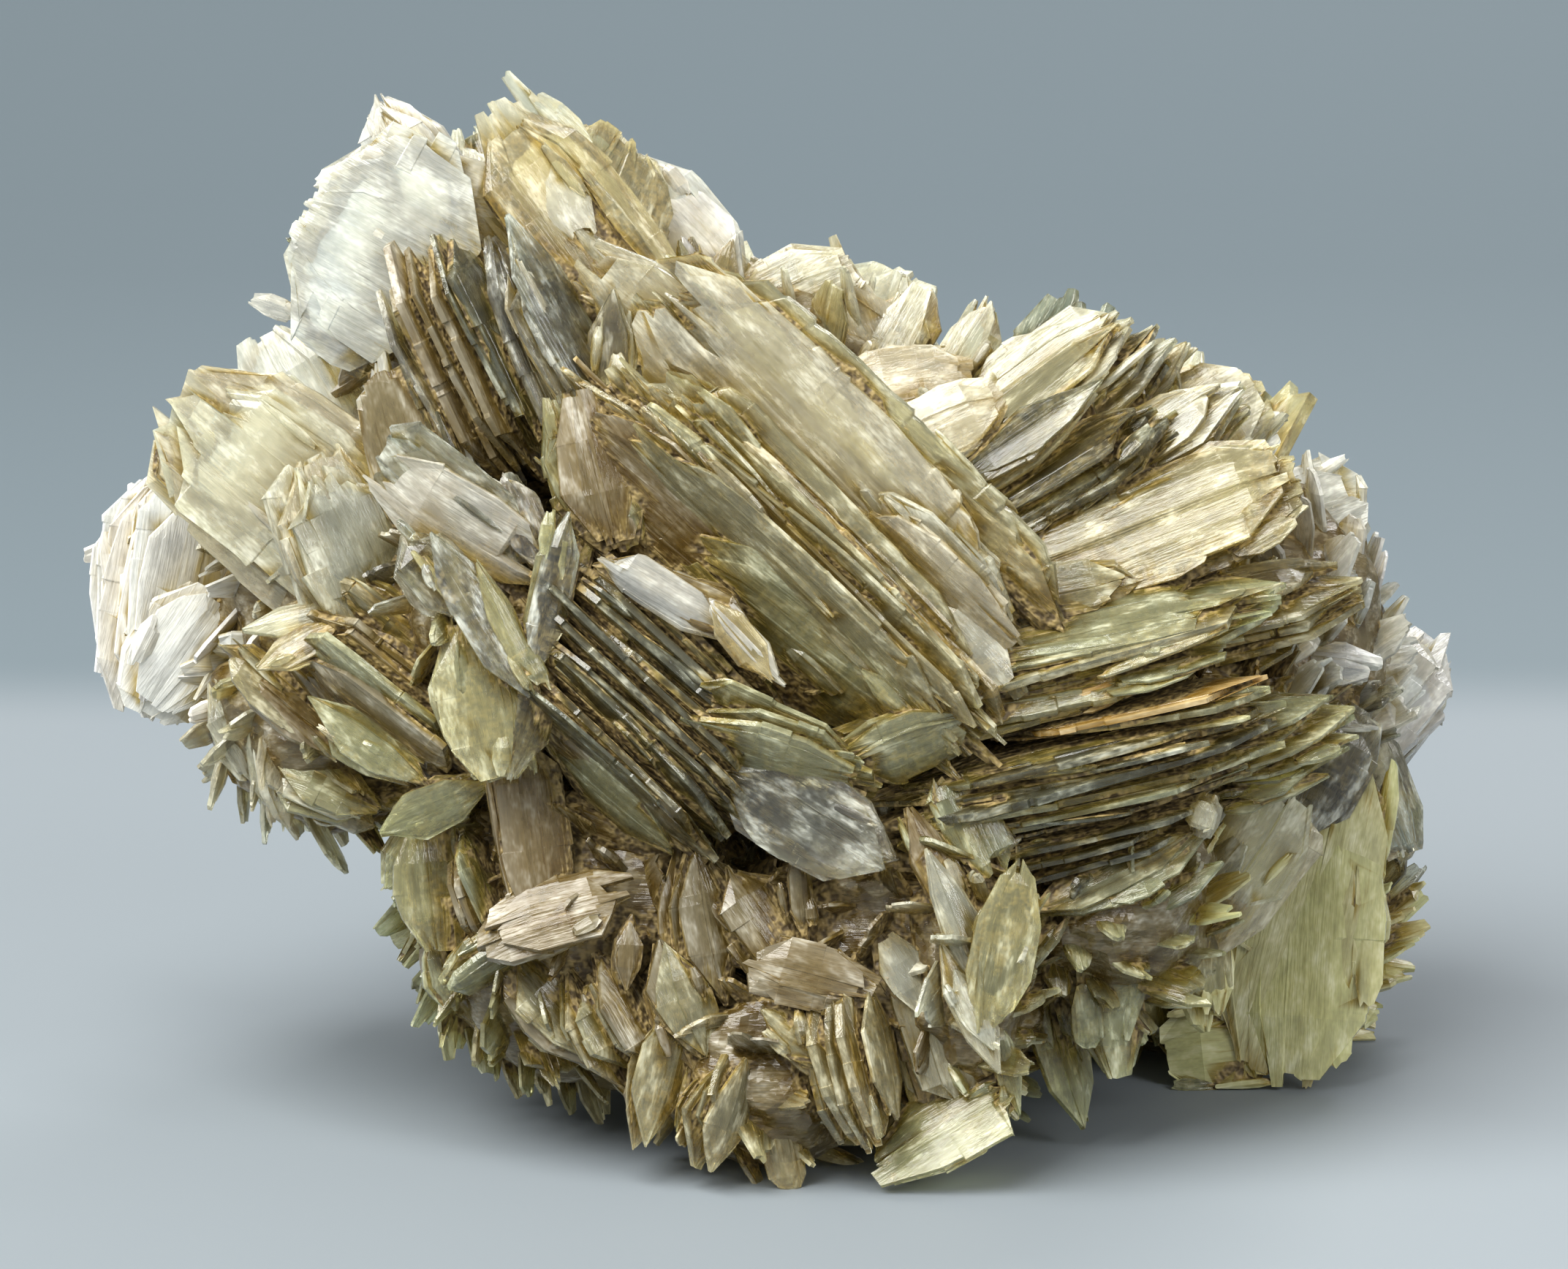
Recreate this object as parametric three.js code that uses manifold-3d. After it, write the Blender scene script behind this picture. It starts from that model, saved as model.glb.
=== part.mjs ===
// A gypsum specimen: one cluster of lens-shaped selenite blades that grew together, in sheaves
// that cross each other. Units are millimetres, +Z is up, -Y is the side that faces the
// viewer, and the origin is under the middle of the specimen.
import * as THREE from "three";
import { mergeVertices } from "three/addons/utils/BufferGeometryUtils.js";
import Module from "manifold-3d";

// Driving dimensions.
const SPECIMEN_WIDTH = 140.3;
const ROW_WIDTH = 140.3; // the width at which the rows below are written
const VIEW_ELEVATION = 12; // degrees, how far above the horizon the viewer's line of sight starts
const VIEW_DISTANCE = 800; // from the viewer to the plane on which places are read
const VIEW_CENTRE = [2.5, 54.6]; // where the line of sight meets that plane, as [right, up]
const ORIGIN_SHIFT = [-0.825, -47.65, 0]; // puts the origin under the middle of the finished cluster

const BLADE_SHARE = 1.06; // a blade's thickness as a share of its pitch in a book
const SLIDE = 0.09; // how far a blade slips along its book, as a share of the length
const TWIST = 7; // degrees that a blade may turn in its own plane
const TIP = 3; // degrees that a blade may tip out of it
const SHORTEST = 0.78; // the least share of the book's length and width that a blade has
const SIDES = [[28, 8], [9, 6], [0, 5]]; // how many sides the blades from a length upwards have
const FLOOR_SIDE = 400; // of the block whose top is the plane that the specimen rests on

// How the outline of each form is rounded lengthwise and across, how rough it is, how large
// its faces are against its rim, whether it is bevelled on both faces or only on the front
// one, and whether it ends in a side instead of a point.
const FORMS = {
  lens: { long: 0.92, wide: 1.3, rough: 0.05, flat: 0.62, twoFaced: false, blunt: false },
  blade: { long: 0.92, wide: 1.2, rough: 0.04, flat: 0.6, twoFaced: true, blunt: false },
  leaf: { long: 0.85, wide: 1.0, rough: 0.07, flat: 0.7, twoFaced: false, blunt: false },
  disc: { long: 0.95, wide: 0.95, rough: 0.06, flat: 0.82, twoFaced: false, blunt: false },
  plate: { long: 0.8, wide: 0.8, rough: 0.12, flat: 0.88, twoFaced: false, blunt: true },
};

// Every book of blades as the photograph shows it: at = [right, up, near] of its middle, aim =
// the long axis's angle on the picture, lean = that axis's tilt towards the viewer, roll = how
// far the face turns from the viewer about the long axis, size = [length, width, thickness].
const CREST = [
  { at: [-36.5, 91.5, -9], aim: 152, roll: 12, size: [20, 26, 4], plates: 2, form: "disc" },
  { at: [-33, 100, -11], aim: 118, roll: 22, size: [15, 9, 5], plates: 2, form: "leaf" },
  { at: [-17.1, 94.8, -10], aim: -52, roll: 22, size: [32, 14, 4.5], form: "disc" },
  { at: [-28, 82, -9], aim: -65, roll: 66, size: [23, 14, 12], plates: 3, form: "plate" },
  { at: [-20, 83, -5], aim: -62, roll: 52, size: [25, 9, 6], plates: 2, form: "leaf" },
  { at: [-14.5, 81.5, -4], aim: 90, roll: 20, size: [14, 5, 4], form: "blade" },
  { at: [-10, 86, -5], aim: -40, roll: -20, size: [16, 9, 3], form: "plate" },
];
const CENTRE = [
  { at: [8, 71, -1], aim: -42, roll: -24, size: [46, 19, 4], form: "plate" },
  { at: [2, 67, 3], aim: -45, roll: -32, size: [37, 12, 3], form: "plate" },
  { at: [6, 60, 2], aim: -45, roll: -58, size: [40, 13, 8], plates: 2, form: "plate" },
  { at: [-2, 66, 0], aim: -46, roll: -66, size: [40, 13, 5], form: "leaf" },
  { at: [18, 61, 1], aim: -46, roll: -40, size: [18, 9, 6], plates: 2, form: "plate" },
  { at: [-8, 65.5, 0], aim: -38, roll: -36, size: [30, 16, 4], form: "disc" },
  { at: [-8, 58.2, 3.5], aim: -25, roll: -20, size: [17, 5, 4], form: "leaf" },
  { at: [-1.3, 54, 6], aim: -52, roll: -15, size: [10, 4.4, 2.2], form: "leaf" },
  { at: [-11, 49, -1], aim: -43, roll: -78, size: [31, 14, 17], plates: 3, form: "leaf" },
  { at: [-14, 40, -3], aim: -42, roll: -66, size: [21, 10, 4.4], form: "leaf" },
  { at: [5, 53.4, 0], aim: -40, roll: -42, size: [23, 12, 4], form: "plate" },
  { at: [4.5, 37.2, 2.5], aim: -28, lean: 6, roll: -16, size: [20, 11, 4], form: "blade" },
  { at: [2, 43.5, 4], aim: -20, roll: -48, size: [17, 9, 4], form: "plate" },
  { at: [14, 44, 3], aim: 20, roll: -35, size: [13, 9, 3.4], form: "plate" },
  { at: [20, 53, 2.5], aim: -50, size: [13, 8, 3], form: "plate" },
];
const RIGHT = [
  { at: [30, 53.5, -3], aim: 12, roll: 62, size: [37, 14, 6], plates: 2, form: "plate" },
  { at: [37, 46, -3], aim: 12, roll: 74, size: [27, 10, 5], plates: 2, form: "leaf" },
  { at: [31, 41, -4], aim: 12, roll: 78, size: [37, 14, 8], plates: 2, form: "leaf" },
  { at: [29, 35, -6], aim: 14, roll: 78, size: [31, 12, 7], plates: 2, form: "leaf" },
  { at: [48, 44, -11], aim: 12, roll: 58, size: [23, 11, 8], plates: 2, form: "lens" },
  { at: [46, 56, -13], aim: 12, roll: 66, size: [24, 11, 9], plates: 2, form: "leaf" },
  { at: [35, 31.5, -3], aim: 22, roll: 25, size: [21, 6.8, 3], form: "blade" },
  { at: [40, 29.3, -6], aim: 30, roll: 40, size: [13, 4, 2], form: "lens" },
  { at: [20.5, 36, 0], aim: -60, roll: 10, size: [9.5, 6.5, 4], form: "plate" },
  { at: [36, 64, -9], aim: 22, roll: 32, size: [35, 14, 5], form: "disc" },
  { at: [43, 66.5, -11], aim: 35, roll: 18, size: [20, 12, 3.4], form: "disc" },
  { at: [43.5, 36.8, -3], aim: 75, roll: 15, size: [4, 3.2, 4], form: "plate" },
  { at: [31, 59, -3.5], aim: 10, roll: 20, size: [13, 6, 3], form: "leaf" },
];
const UPPER_RIGHT = [
  { at: [28, 68, -13], aim: 33, roll: 60, size: [27, 11, 7], plates: 2, form: "leaf" },
  { at: [26, 73.5, -11], aim: 38, roll: 48, size: [19, 7, 4], form: "lens" },
  { at: [28.2, 81, -23], aim: 36, roll: 28, size: [17, 7, 4], form: "leaf" },
  { at: [32.5, 79.5, -23], aim: 40, roll: 35, size: [13, 5, 4], form: "lens" },
  { at: [38, 79.5, -24], aim: 38, roll: 30, size: [12, 4.6, 4], form: "lens" },
  { at: [42, 75, -26], aim: 28, roll: 10, size: [16, 12, 4], form: "disc" },
  { at: [47, 74, -33], aim: 20, roll: 20, size: [9, 4.4, 3], form: "leaf" },
  { at: [29, 76, -20], aim: 38, roll: 58, size: [25, 10, 9], plates: 2, form: "leaf" },
  { at: [38, 72.5, -17], aim: 33, roll: 44, size: [21, 9, 6], plates: 2, form: "leaf" },
  { at: [17, 74.5, -12], aim: 28, roll: 14, size: [17, 9, 3], form: "disc" },
  { at: [-7.8, 93.5, -36], aim: -50, roll: 10, size: [17, 12, 4], form: "disc" },
  { at: [-6.3, 89.3, -32], aim: 100, roll: 20, size: [9, 3, 4], form: "lens" },
  { at: [-3.5, 88.2, -32], aim: 76, roll: 15, size: [12, 5, 4], form: "lens" },
  { at: [3.5, 87.2, -35], aim: 24, roll: 10, size: [14, 11, 5], form: "disc" },
  { at: [9, 82, -34], aim: -62, roll: 5, size: [18, 12, 4], form: "plate" },
  { at: [13.5, 83, -33], aim: 62, roll: 10, size: [10, 7, 3], form: "plate" },
  { at: [20, 82, -30], aim: 62, roll: 15, size: [12, 5.4, 3.5], form: "leaf" },
  { at: [14, 79, -26], aim: 8, roll: 20, size: [15, 9, 3], form: "disc" },
];
const LEFT = [
  { at: [-44, 67.5, -13], aim: 142, roll: 5, size: [29, 19, 6], form: "plate" },
  { at: [-44, 76.5, -23], aim: 118, roll: 12, size: [18, 13, 4], form: "disc" },
  { at: [-33, 72, -9], aim: 100, roll: 20, size: [17, 12, 4], form: "plate" },
  { at: [-40.5, 63.5, -9], aim: -70, roll: 30, size: [15, 13, 5], plates: 2, form: "plate" },
  { at: [-58, 58.5, -31], aim: 84, roll: -32, size: [23, 14, 11], plates: 2, form: "disc" },
  { at: [-56.5, 53, -26], aim: 60, roll: -20, size: [14, 12, 6], form: "disc" },
  { at: [-44.5, 53.3, -5], aim: 24, roll: 30, size: [10, 4.4, 2.2], form: "lens" },
  { at: [-38, 43.7, -4], aim: -36, roll: 18, size: [15, 6.2, 3], form: "lens" },
  { at: [-46, 48, -10], aim: -40, roll: 22, size: [16, 6, 3], form: "leaf" },
  { at: [-36, 48.5, -7], aim: -38, roll: -58, size: [20, 11, 8], plates: 2, form: "plate" },
  { at: [-32, 37.7, -4], aim: 207, roll: 18, size: [12, 6, 2.6], form: "lens" },
  { at: [-47.5, 41.7, -16], aim: -80, roll: 12, size: [12, 5, 3], form: "leaf" },
  { at: [-42, 39, -14], aim: -22, roll: 25, size: [12, 6, 5], form: "leaf" },
  { at: [-27, 48, 2], aim: -82, roll: 10, size: [17, 10, 3], form: "disc" },
  { at: [-22.5, 46.7, 2], aim: -104, roll: 15, size: [13, 5, 3], form: "leaf" },
  { at: [-27.5, 57, 5], aim: -54, roll: 14, size: [20, 5, 2.5], form: "blade" },
  { at: [-31, 60, 2], aim: -52, roll: 20, size: [15, 8, 3], form: "leaf" },
  { at: [-29, 66, 1], aim: -35, roll: -28, size: [17, 10, 4], form: "plate" },
  { at: [-20.3, 58.5, 4], aim: -103, roll: 12, size: [16, 4.6, 2.6], form: "leaf" },
  { at: [-16, 70.5, 0], aim: -72, roll: 22, size: [17, 10, 5], form: "disc" },
  { at: [-16, 58, -3], aim: -76, roll: 30, size: [16, 8, 3], form: "plate" },
];
const UNDERSIDE = [
  { at: [-31.3, 30.7, -9], aim: -88, roll: 10, size: [14, 9, 3], form: "disc" },
  { at: [-22, 35.5, -4], aim: -82, roll: 16, size: [21, 8, 3], form: "leaf" },
  { at: [-20, 27, -2], aim: 20, roll: 30, size: [14, 8, 4], form: "plate" },
  { at: [-30.8, 22, -12], aim: -82, roll: 20, size: [9, 4.4, 3], form: "lens" },
  { at: [-26, 23, -7], aim: -148, roll: 56, size: [11, 7, 4], form: "leaf" },
  { at: [-13, 23.2, -1.5], aim: -96, roll: 12, size: [8, 3.4, 3], form: "blade" },
  { at: [-19.5, 17.5, -7], aim: -50, roll: 20, size: [14, 8, 4], form: "leaf" },
  { at: [-14, 16.5, -4], aim: -62, roll: 48, size: [14, 9, 7], plates: 2, form: "leaf" },
  { at: [-9.5, 11.5, -1], aim: -102, roll: 22, size: [15, 7, 5], plates: 2, form: "lens" },
  { at: [-4, 8.5, 0], aim: -108, roll: 38, size: [13, 8, 6], plates: 2, form: "lens" },
  { at: [2.2, 4.9, -2], aim: -80, roll: 10, size: [11, 4, 2.6], form: "leaf" },
  { at: [-6, 26, -3], aim: -82, roll: 38, size: [17, 8, 6], plates: 2, form: "lens" },
  { at: [5, 21.5, 2], aim: -18, roll: 8, size: [11, 7, 3], form: "plate" },
  { at: [9, 13, 1], aim: -76, roll: 64, size: [16, 9, 8], plates: 2, form: "leaf" },
  { at: [18, 6.5, -1], aim: 32, roll: 38, size: [14, 9, 3], form: "plate" },
  { at: [17.5, 16, -3], aim: -76, roll: 20, size: [19, 9, 5], form: "leaf" },
  { at: [20, 26, 4], aim: -66, roll: 24, size: [17, 5, 3], form: "lens" },
  { at: [20.8, 18, 5], aim: -63, roll: 20, size: [14, 4.6, 2.6], form: "lens" },
  { at: [24, 13, -1], aim: -76, roll: 18, size: [11, 3.4, 2], form: "lens" },
  { at: [24, 23.5, 5], aim: -97, roll: 10, size: [16, 6.6, 2.6], form: "leaf" },
  { at: [29.5, 16.2, -16], aim: -75, roll: 28, size: [22, 7, 3.4], form: "blade" },
  { at: [34, 21, -12], aim: -84, roll: 18, size: [19, 8, 3.6], form: "disc" },
  { at: [38, 14.5, -17], aim: -88, roll: 14, size: [21, 6, 3], form: "blade" },
];
const LOWER_RIGHT = [
  { at: [53, 27, -38], aim: 82, roll: 8, size: [37, 19, 4], form: "disc" },
  { at: [45.5, 14.5, -39], aim: 8, roll: 5, size: [16, 12, 3.6], form: "disc" },
  { at: [47.5, 33, -22], aim: 52, roll: 10, size: [18, 11, 2.6], form: "plate" },
  { at: [55, 41, -36], aim: 58, roll: 10, size: [15, 10, 3], form: "disc" },
  { at: [60.3, 40, -46], aim: -66, roll: 5, size: [16, 8.5, 2.6], form: "disc" },
  { at: [57.3, 47.3, -42], aim: 20, roll: 10, size: [9, 6, 3], form: "plate" },
  { at: [53, 65.5, -46], aim: 20, roll: 8, size: [14, 12, 3.4], form: "plate" },
  { at: [53.5, 58, -40], aim: 14, roll: 60, size: [11, 8, 5], form: "leaf" },
  { at: [55.5, 51.8, -36], aim: -8, roll: 20, size: [9, 6, 3], form: "plate" },
];

// The large plates that stand behind the crest, the top and the two ends.
const BEHIND = [
  { at: [-31, 92, -31], aim: 105, lean: -22, roll: 24, size: [25, 22, 6], form: "disc" },
  { at: [-18, 92, -27], aim: 70, lean: -26, roll: -22, size: [26, 20, 6], form: "disc" },
  { at: [-30, 76, -42], aim: 158, lean: -18, roll: 34, size: [30, 20, 8], form: "leaf" },
  { at: [-10, 84, -46], aim: 62, lean: -34, roll: 26, size: [26, 18, 7], form: "plate" },
  { at: [8, 82, -52], aim: 48, lean: -28, roll: 38, size: [24, 16, 7], form: "disc" },
  { at: [24, 75, -48], aim: 38, lean: -18, roll: 42, size: [27, 16, 7], form: "leaf" },
  { at: [40, 66, -48], aim: 24, lean: -26, roll: 36, size: [26, 17, 9], form: "disc" },
  { at: [-56, 60, -44], aim: 118, lean: -30, roll: 20, size: [24, 18, 8], form: "disc" },
  { at: [54, 30, -62], aim: 78, lean: -22, roll: 26, size: [31, 19, 7], form: "disc" },
  { at: [43, 28.5, -72], aim: 112, lean: -12, roll: -14, size: [30, 19, 8], form: "leaf" },
  { at: [-15, 26, -60], aim: 98, lean: -8, roll: 24, size: [30, 16, 8], form: "leaf" },
  { at: [58, 47, -58], aim: 40, lean: -34, roll: 30, size: [24, 16, 7], form: "plate" },
];

// The sides that face away from the viewer, round the middle of the hidden half: books stand
// out of it in a spiral of even steps, and lean a little to one side as those in front do.
const BACK = {
  centre: [2, 53, -46],
  radii: [46, 27, 32],
  books: 50,
  swirl: 38,
  spread: 30,
  length: [20, 32],
  width: [12, 20],
  depth: [6, 11],
  hidden: 0.12,
};

// Lobes of the massive middle, in which the blades are rooted: at = [right, up, near] and radii.
const LOBES = [
  { at: [2, 53, -32], radii: [36, 27, 31], detail: 1 },
  { at: [-34, 58, -30], radii: [21, 17, 23], detail: 0 },
  { at: [-25, 84, -22], radii: [15, 15, 12], detail: 0 },
  { at: [34, 50, -30], radii: [21, 17, 25], detail: 0 },
  { at: [29, 71, -34], radii: [21, 10, 19], detail: 0 },
  { at: [0, 79, -40], radii: [17, 12, 16], detail: 0 },
  { at: [-15, 27, -23], radii: [20, 18, 20], detail: 1 },
  { at: [13, 24, -20], radii: [18, 19, 21], detail: 0 },
  { at: [2, 54, -56], radii: [44, 29, 22], detail: 1 },
  { at: [-52, 60, -38], radii: [11, 11, 10], detail: 0 },
  { at: [-41, 46, -24], radii: [14, 11, 14], detail: 0 },
  { at: [-26, 56, -10], radii: [10, 12, 12], detail: 0 },
  { at: [1, 12, -9], radii: [12, 10, 11], detail: 0 },
  { at: [20, 23, -6], radii: [7, 15, 10], detail: 0 },
  { at: [34, 30, -19], radii: [12, 13, 17], detail: 0 },
  { at: [44, 29, -56], radii: [20, 18, 17], detail: 0 },
  { at: [47, 53, -49], radii: [16, 20, 17], detail: 0 },
];

const radians = THREE.MathUtils.degToRad;

// A repeatable source of numbers from 0 to 1, seeded by a place so that each book keeps its own.
function chanceFrom([right, up, near]) {
  let state = (Math.round((right + 200) * 10) * 7919 + Math.round((up + 200) * 10) * 104729) >>> 0;
  state = (state + Math.round((near + 200) * 10) * 1299709) >>> 0;
  return () => {
    state = (Math.imul(state, 1664525) + 1013904223) >>> 0;
    return state / 2 ** 32;
  };
}

// Where a point seen at [right, up] on the picture lies, when it is `near` in front of the
// plane on which places are read. Further things are read smaller, so they are moved out.
function seen([right, up, near]) {
  const grow = (VIEW_DISTANCE - near) / VIEW_DISTANCE;
  return new THREE.Vector3(
    VIEW_CENTRE[0] + (right - VIEW_CENTRE[0]) * grow,
    VIEW_CENTRE[1] + (up - VIEW_CENTRE[1]) * grow,
    near,
  );
}

// The books of the back, from a spiral that covers the whole ball and keeps the hidden part.
function backBooks() {
  const rows = [];
  const chance = chanceFrom(BACK.centre);
  const between = ([low, high]) => low + (high - low) * chance();
  const forms = ["leaf", "plate", "disc", "leaf"];
  for (let k = 0; k < BACK.books; k += 1) {
    const height = 1 - (2 * k + 1) / BACK.books;
    const turn = k * Math.PI * (3 - Math.sqrt(5));
    const ring = Math.sqrt(1 - height * height);
    const out = [ring * Math.cos(turn), height, ring * Math.sin(turn)];
    const row = {
      at: out.map((part, axis) => BACK.centre[axis] + BACK.radii[axis] * part),
      aim: THREE.MathUtils.radToDeg(Math.atan2(out[1], out[0])) + BACK.swirl,
      lean: THREE.MathUtils.radToDeg(Math.asin(out[2])) * 0.6,
      roll: between([40, 90]),
      size: [between(BACK.length), between(BACK.width), between(BACK.depth)],
      plates: 1,
      form: forms[k % forms.length],
    };
    row.aim += BACK.spread * (2 * chance() - 1);
    if (out[2] < -BACK.hidden && row.at[1] > 14 - row.at[2] * 0.2) rows.push(row);
  }
  return rows;
}

// The axes of a book, in the viewer's frame of right, up and near: along, across and face.
function axesOf({ aim, lean = 0, roll = 0 }) {
  const along = new THREE.Vector3(
    Math.cos(radians(aim)) * Math.cos(radians(lean)),
    Math.sin(radians(aim)) * Math.cos(radians(lean)),
    Math.sin(radians(lean)),
  );
  const facing = new THREE.Vector3(0, 0, 1).addScaledVector(along, -along.z).normalize();
  const side = facing.clone().cross(along);
  const face = facing
    .multiplyScalar(Math.cos(radians(roll)))
    .addScaledVector(side, Math.sin(radians(roll)));
  return new THREE.Matrix4().makeBasis(along, face.clone().cross(along), face);
}

// The corners of a blade's outline, as [x, y] with x along it.
function outlineOf(form, length, width, chance) {
  const sides = SIDES.find(([shortest]) => length >= shortest)[1];
  const corners = [];
  for (let k = 0; k < sides; k += 1) {
    const turn = ((k + (form.blunt ? 0.5 : 0)) / sides) * 2 * Math.PI;
    const reach = 1 - form.rough + 2 * form.rough * chance();
    const x = Math.sign(Math.cos(turn)) * Math.abs(Math.cos(turn)) ** form.long;
    const y = Math.sign(Math.sin(turn)) * Math.abs(Math.sin(turn)) ** form.wide;
    corners.push([(x * reach * length) / 2, (y * reach * width) / 2]);
  }
  return corners;
}

// The blades of one book, each with its outline, thickness and place.
function bladesOf(book) {
  const { size, plates = 1 } = book;
  const chance = chanceFrom(book.at);
  const form = FORMS[book.form];
  const pitch = size[2] / plates;
  const blades = [];
  for (let i = 0; i < plates; i += 1) {
    const length = size[0] * (plates > 1 ? SHORTEST + (1.1 - SHORTEST) * chance() : 1);
    const width = size[1] * (plates > 1 ? SHORTEST + (1.1 - SHORTEST) * chance() : 1);
    const slide = plates > 1 ? size[0] * SLIDE * (2 * chance() - 1) : 0;
    const twist = plates > 1 ? radians(TWIST * (2 * chance() - 1)) : 0;
    const tip = plates > 1 ? radians(TIP * (2 * chance() - 1)) : 0;
    const place = new THREE.Matrix4()
      .makeTranslation(seen(book.at))
      .multiply(axesOf(book))
      .multiply(new THREE.Matrix4().makeTranslation(slide, 0, (i - (plates - 1) / 2) * pitch))
      .multiply(new THREE.Matrix4().makeRotationZ(twist))
      .multiply(new THREE.Matrix4().makeRotationY(tip));
    blades.push({
      place,
      form,
      thickness: pitch * (plates > 1 ? BLADE_SHARE : 1),
      outline: outlineOf(form, length, width, chance),
    });
  }
  return blades;
}

// A blade: a short many-sided drum whose rings are drawn out to the blade's outline.
function bladeGeometry({ place, form, thickness, outline }) {
  const sides = outline.length;
  const drum = new THREE.CylinderGeometry(1, 1, thickness, sides, form.twoFaced ? 2 : 1);
  const points = drum.getAttribute("position");
  for (let i = 0; i < points.count; i += 1) {
    const [x, height, z] = [points.getX(i), points.getY(i), points.getZ(i)];
    const corner = Math.round((Math.atan2(x, z) / (2 * Math.PI)) * sides + sides) % sides;
    const centre = Math.hypot(x, z) < 0.5;
    const onRim = form.twoFaced ? Math.abs(height) < thickness / 4 : height < 0;
    const reach = centre ? 0 : onRim ? 1 : form.flat;
    points.setXYZ(i, outline[corner][0] * reach, outline[corner][1] * reach, height);
  }
  return drum.applyMatrix4(place);
}

// From the viewer's frame to the specimen's own.
function toSpecimen() {
  const scale = SPECIMEN_WIDTH / ROW_WIDTH;
  return new THREE.Matrix4()
    .makeTranslation(...ORIGIN_SHIFT)
    .multiply(new THREE.Matrix4().makeScale(scale, scale, scale))
    .multiply(new THREE.Matrix4().makeRotationX(radians(90 - VIEW_ELEVATION)));
}

const wasm = await Module();
wasm.setup();

function solidOf(geometry) {
  const bare = geometry.clone();
  bare.deleteAttribute("normal");
  bare.deleteAttribute("uv");
  const merged = mergeVertices(bare, 1e-4);
  return new wasm.Manifold(
    new wasm.Mesh({
      numProp: 3,
      vertProperties: merged.getAttribute("position").array,
      triVerts: new Uint32Array(merged.index.array),
    }),
  );
}

function geometryOf(solid) {
  const mesh = solid.getMesh();
  return new THREE.BufferGeometry()
    .setAttribute("position", new THREE.BufferAttribute(mesh.vertProperties, 3))
    .setIndex(new THREE.BufferAttribute(mesh.triVerts, 1))
    .toNonIndexed();
}

function lobeGeometry({ at, radii, detail }) {
  return new THREE.IcosahedronGeometry(1, detail)
    .applyMatrix4(new THREE.Matrix4().makeScale(...radii))
    .applyMatrix4(new THREE.Matrix4().makeTranslation(seen(at)));
}

const books = [CREST, CENTRE, RIGHT, UPPER_RIGHT, LEFT, UNDERSIDE, LOWER_RIGHT, BEHIND]
  .flat()
  .concat(backBooks());
const pieces = [
  ...LOBES.map(lobeGeometry),
  ...books.flatMap(bladesOf).map(bladeGeometry),
].map((geometry) => solidOf(geometry.applyMatrix4(toSpecimen())));
const floor = new THREE.BoxGeometry(FLOOR_SIDE, FLOOR_SIDE, FLOOR_SIDE);
const cluster = pieces
  .reduce((whole, piece) => whole.add(piece))
  .subtract(solidOf(floor.translate(0, 0, -FLOOR_SIDE / 2)));

const group = new THREE.Group();
const mesh = new THREE.Mesh(
  geometryOf(cluster),
  new THREE.MeshStandardMaterial({ color: 0xcfc6a4, roughness: 0.45, metalness: 0 }),
);
mesh.name = "crystal_cluster";
group.add(mesh);

export default group;
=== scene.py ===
"""Looks of the gypsum specimen: a cluster of selenite blades that grew together.

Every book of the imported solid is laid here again, at the same place, as the pile of thin and
ragged laminae that it is. Flakes and splinters lie on the books, and small blades stand on the
lobes behind them. The scene is in metres. The rows of books and all that a lamina is drawn from
are in millimetres, as the solid's are.
"""

import math

import bmesh
import bpy
import numpy as np
from mathutils import Matrix, Vector, noise
from mathutils.bvhtree import BVHTree


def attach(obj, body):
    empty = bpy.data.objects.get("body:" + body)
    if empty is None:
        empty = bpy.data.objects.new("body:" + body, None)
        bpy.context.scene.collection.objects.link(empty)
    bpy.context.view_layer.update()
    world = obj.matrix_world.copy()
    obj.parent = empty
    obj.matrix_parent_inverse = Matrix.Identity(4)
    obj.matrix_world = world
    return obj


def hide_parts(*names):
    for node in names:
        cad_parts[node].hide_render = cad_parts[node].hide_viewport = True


MM = 0.001

# The viewer's place, which also reads the rows: they are as the solid's source has them.
VIEW_ELEVATION = 12.0
VIEW_DISTANCE = 800.0
VIEW_CENTRE = (2.5, 54.6)
ORIGIN_SHIFT = (-0.825, -47.65, 0.0)
PICTURE_WIDTH = 153.2
SENSOR_WIDTH = 36.0
TO_SPECIMEN = (
    Matrix.Scale(MM, 4)
    @ Matrix.Translation(ORIGIN_SHIFT)
    @ Matrix.Rotation(math.radians(90 - VIEW_ELEVATION), 4, "X")
)

# The repeatable chance: how a place becomes a seed, and how each number leads to the next.
SEED_PRIMES = (7919, 104729, 1299709)
SEED_SHIFT = 200
SEED_STEPS = 10
CHANCE_FACTOR = 1664525
CHANCE_STEP = 1013904223
CHANCE_LIMIT = 2**32

# How far round the ball an even spiral turns from one step to the next, as a share of half a turn.
GOLDEN_SHARE = 3 - math.sqrt(5)

# The laminae of a book: their thickness, the steps to the next as shares of it, how far they slide
# as a share of the book, their turns in degrees, and their sizes as shares of the book's.
LAMINA_THICKNESS = (1.1, 2.6)
SHUT_STEP = (0.45, 0.75)
OPEN_STEP = (1.05, 1.25)
OPEN_CHANCE = 0.10
SLIDE = 0.035
TWIST = 5.5
TIP = 2.6
ROCK = 5.0
WHOLE_RANGE = (0.94, 1.03)
SHORT_RANGE = (0.62, 0.92)
SHORT_CHANCE = 0.14
OUTER_FALL = 0.22

# A lamina's least half width, its bow as a share of its length, its ridges as a share of its
# thickness, and how far off another's its streaks may start.
LEAST_HALF = 0.12
BOW = 0.006
RIDGE = 0.05
SEED_REACH = 200

# How late along a lamina its ends' breaks, its slope to the rim and its milky rim set in.
END_POWER = 3
SLOPE_POWER = 2
RIM_POWER = 6

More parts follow.
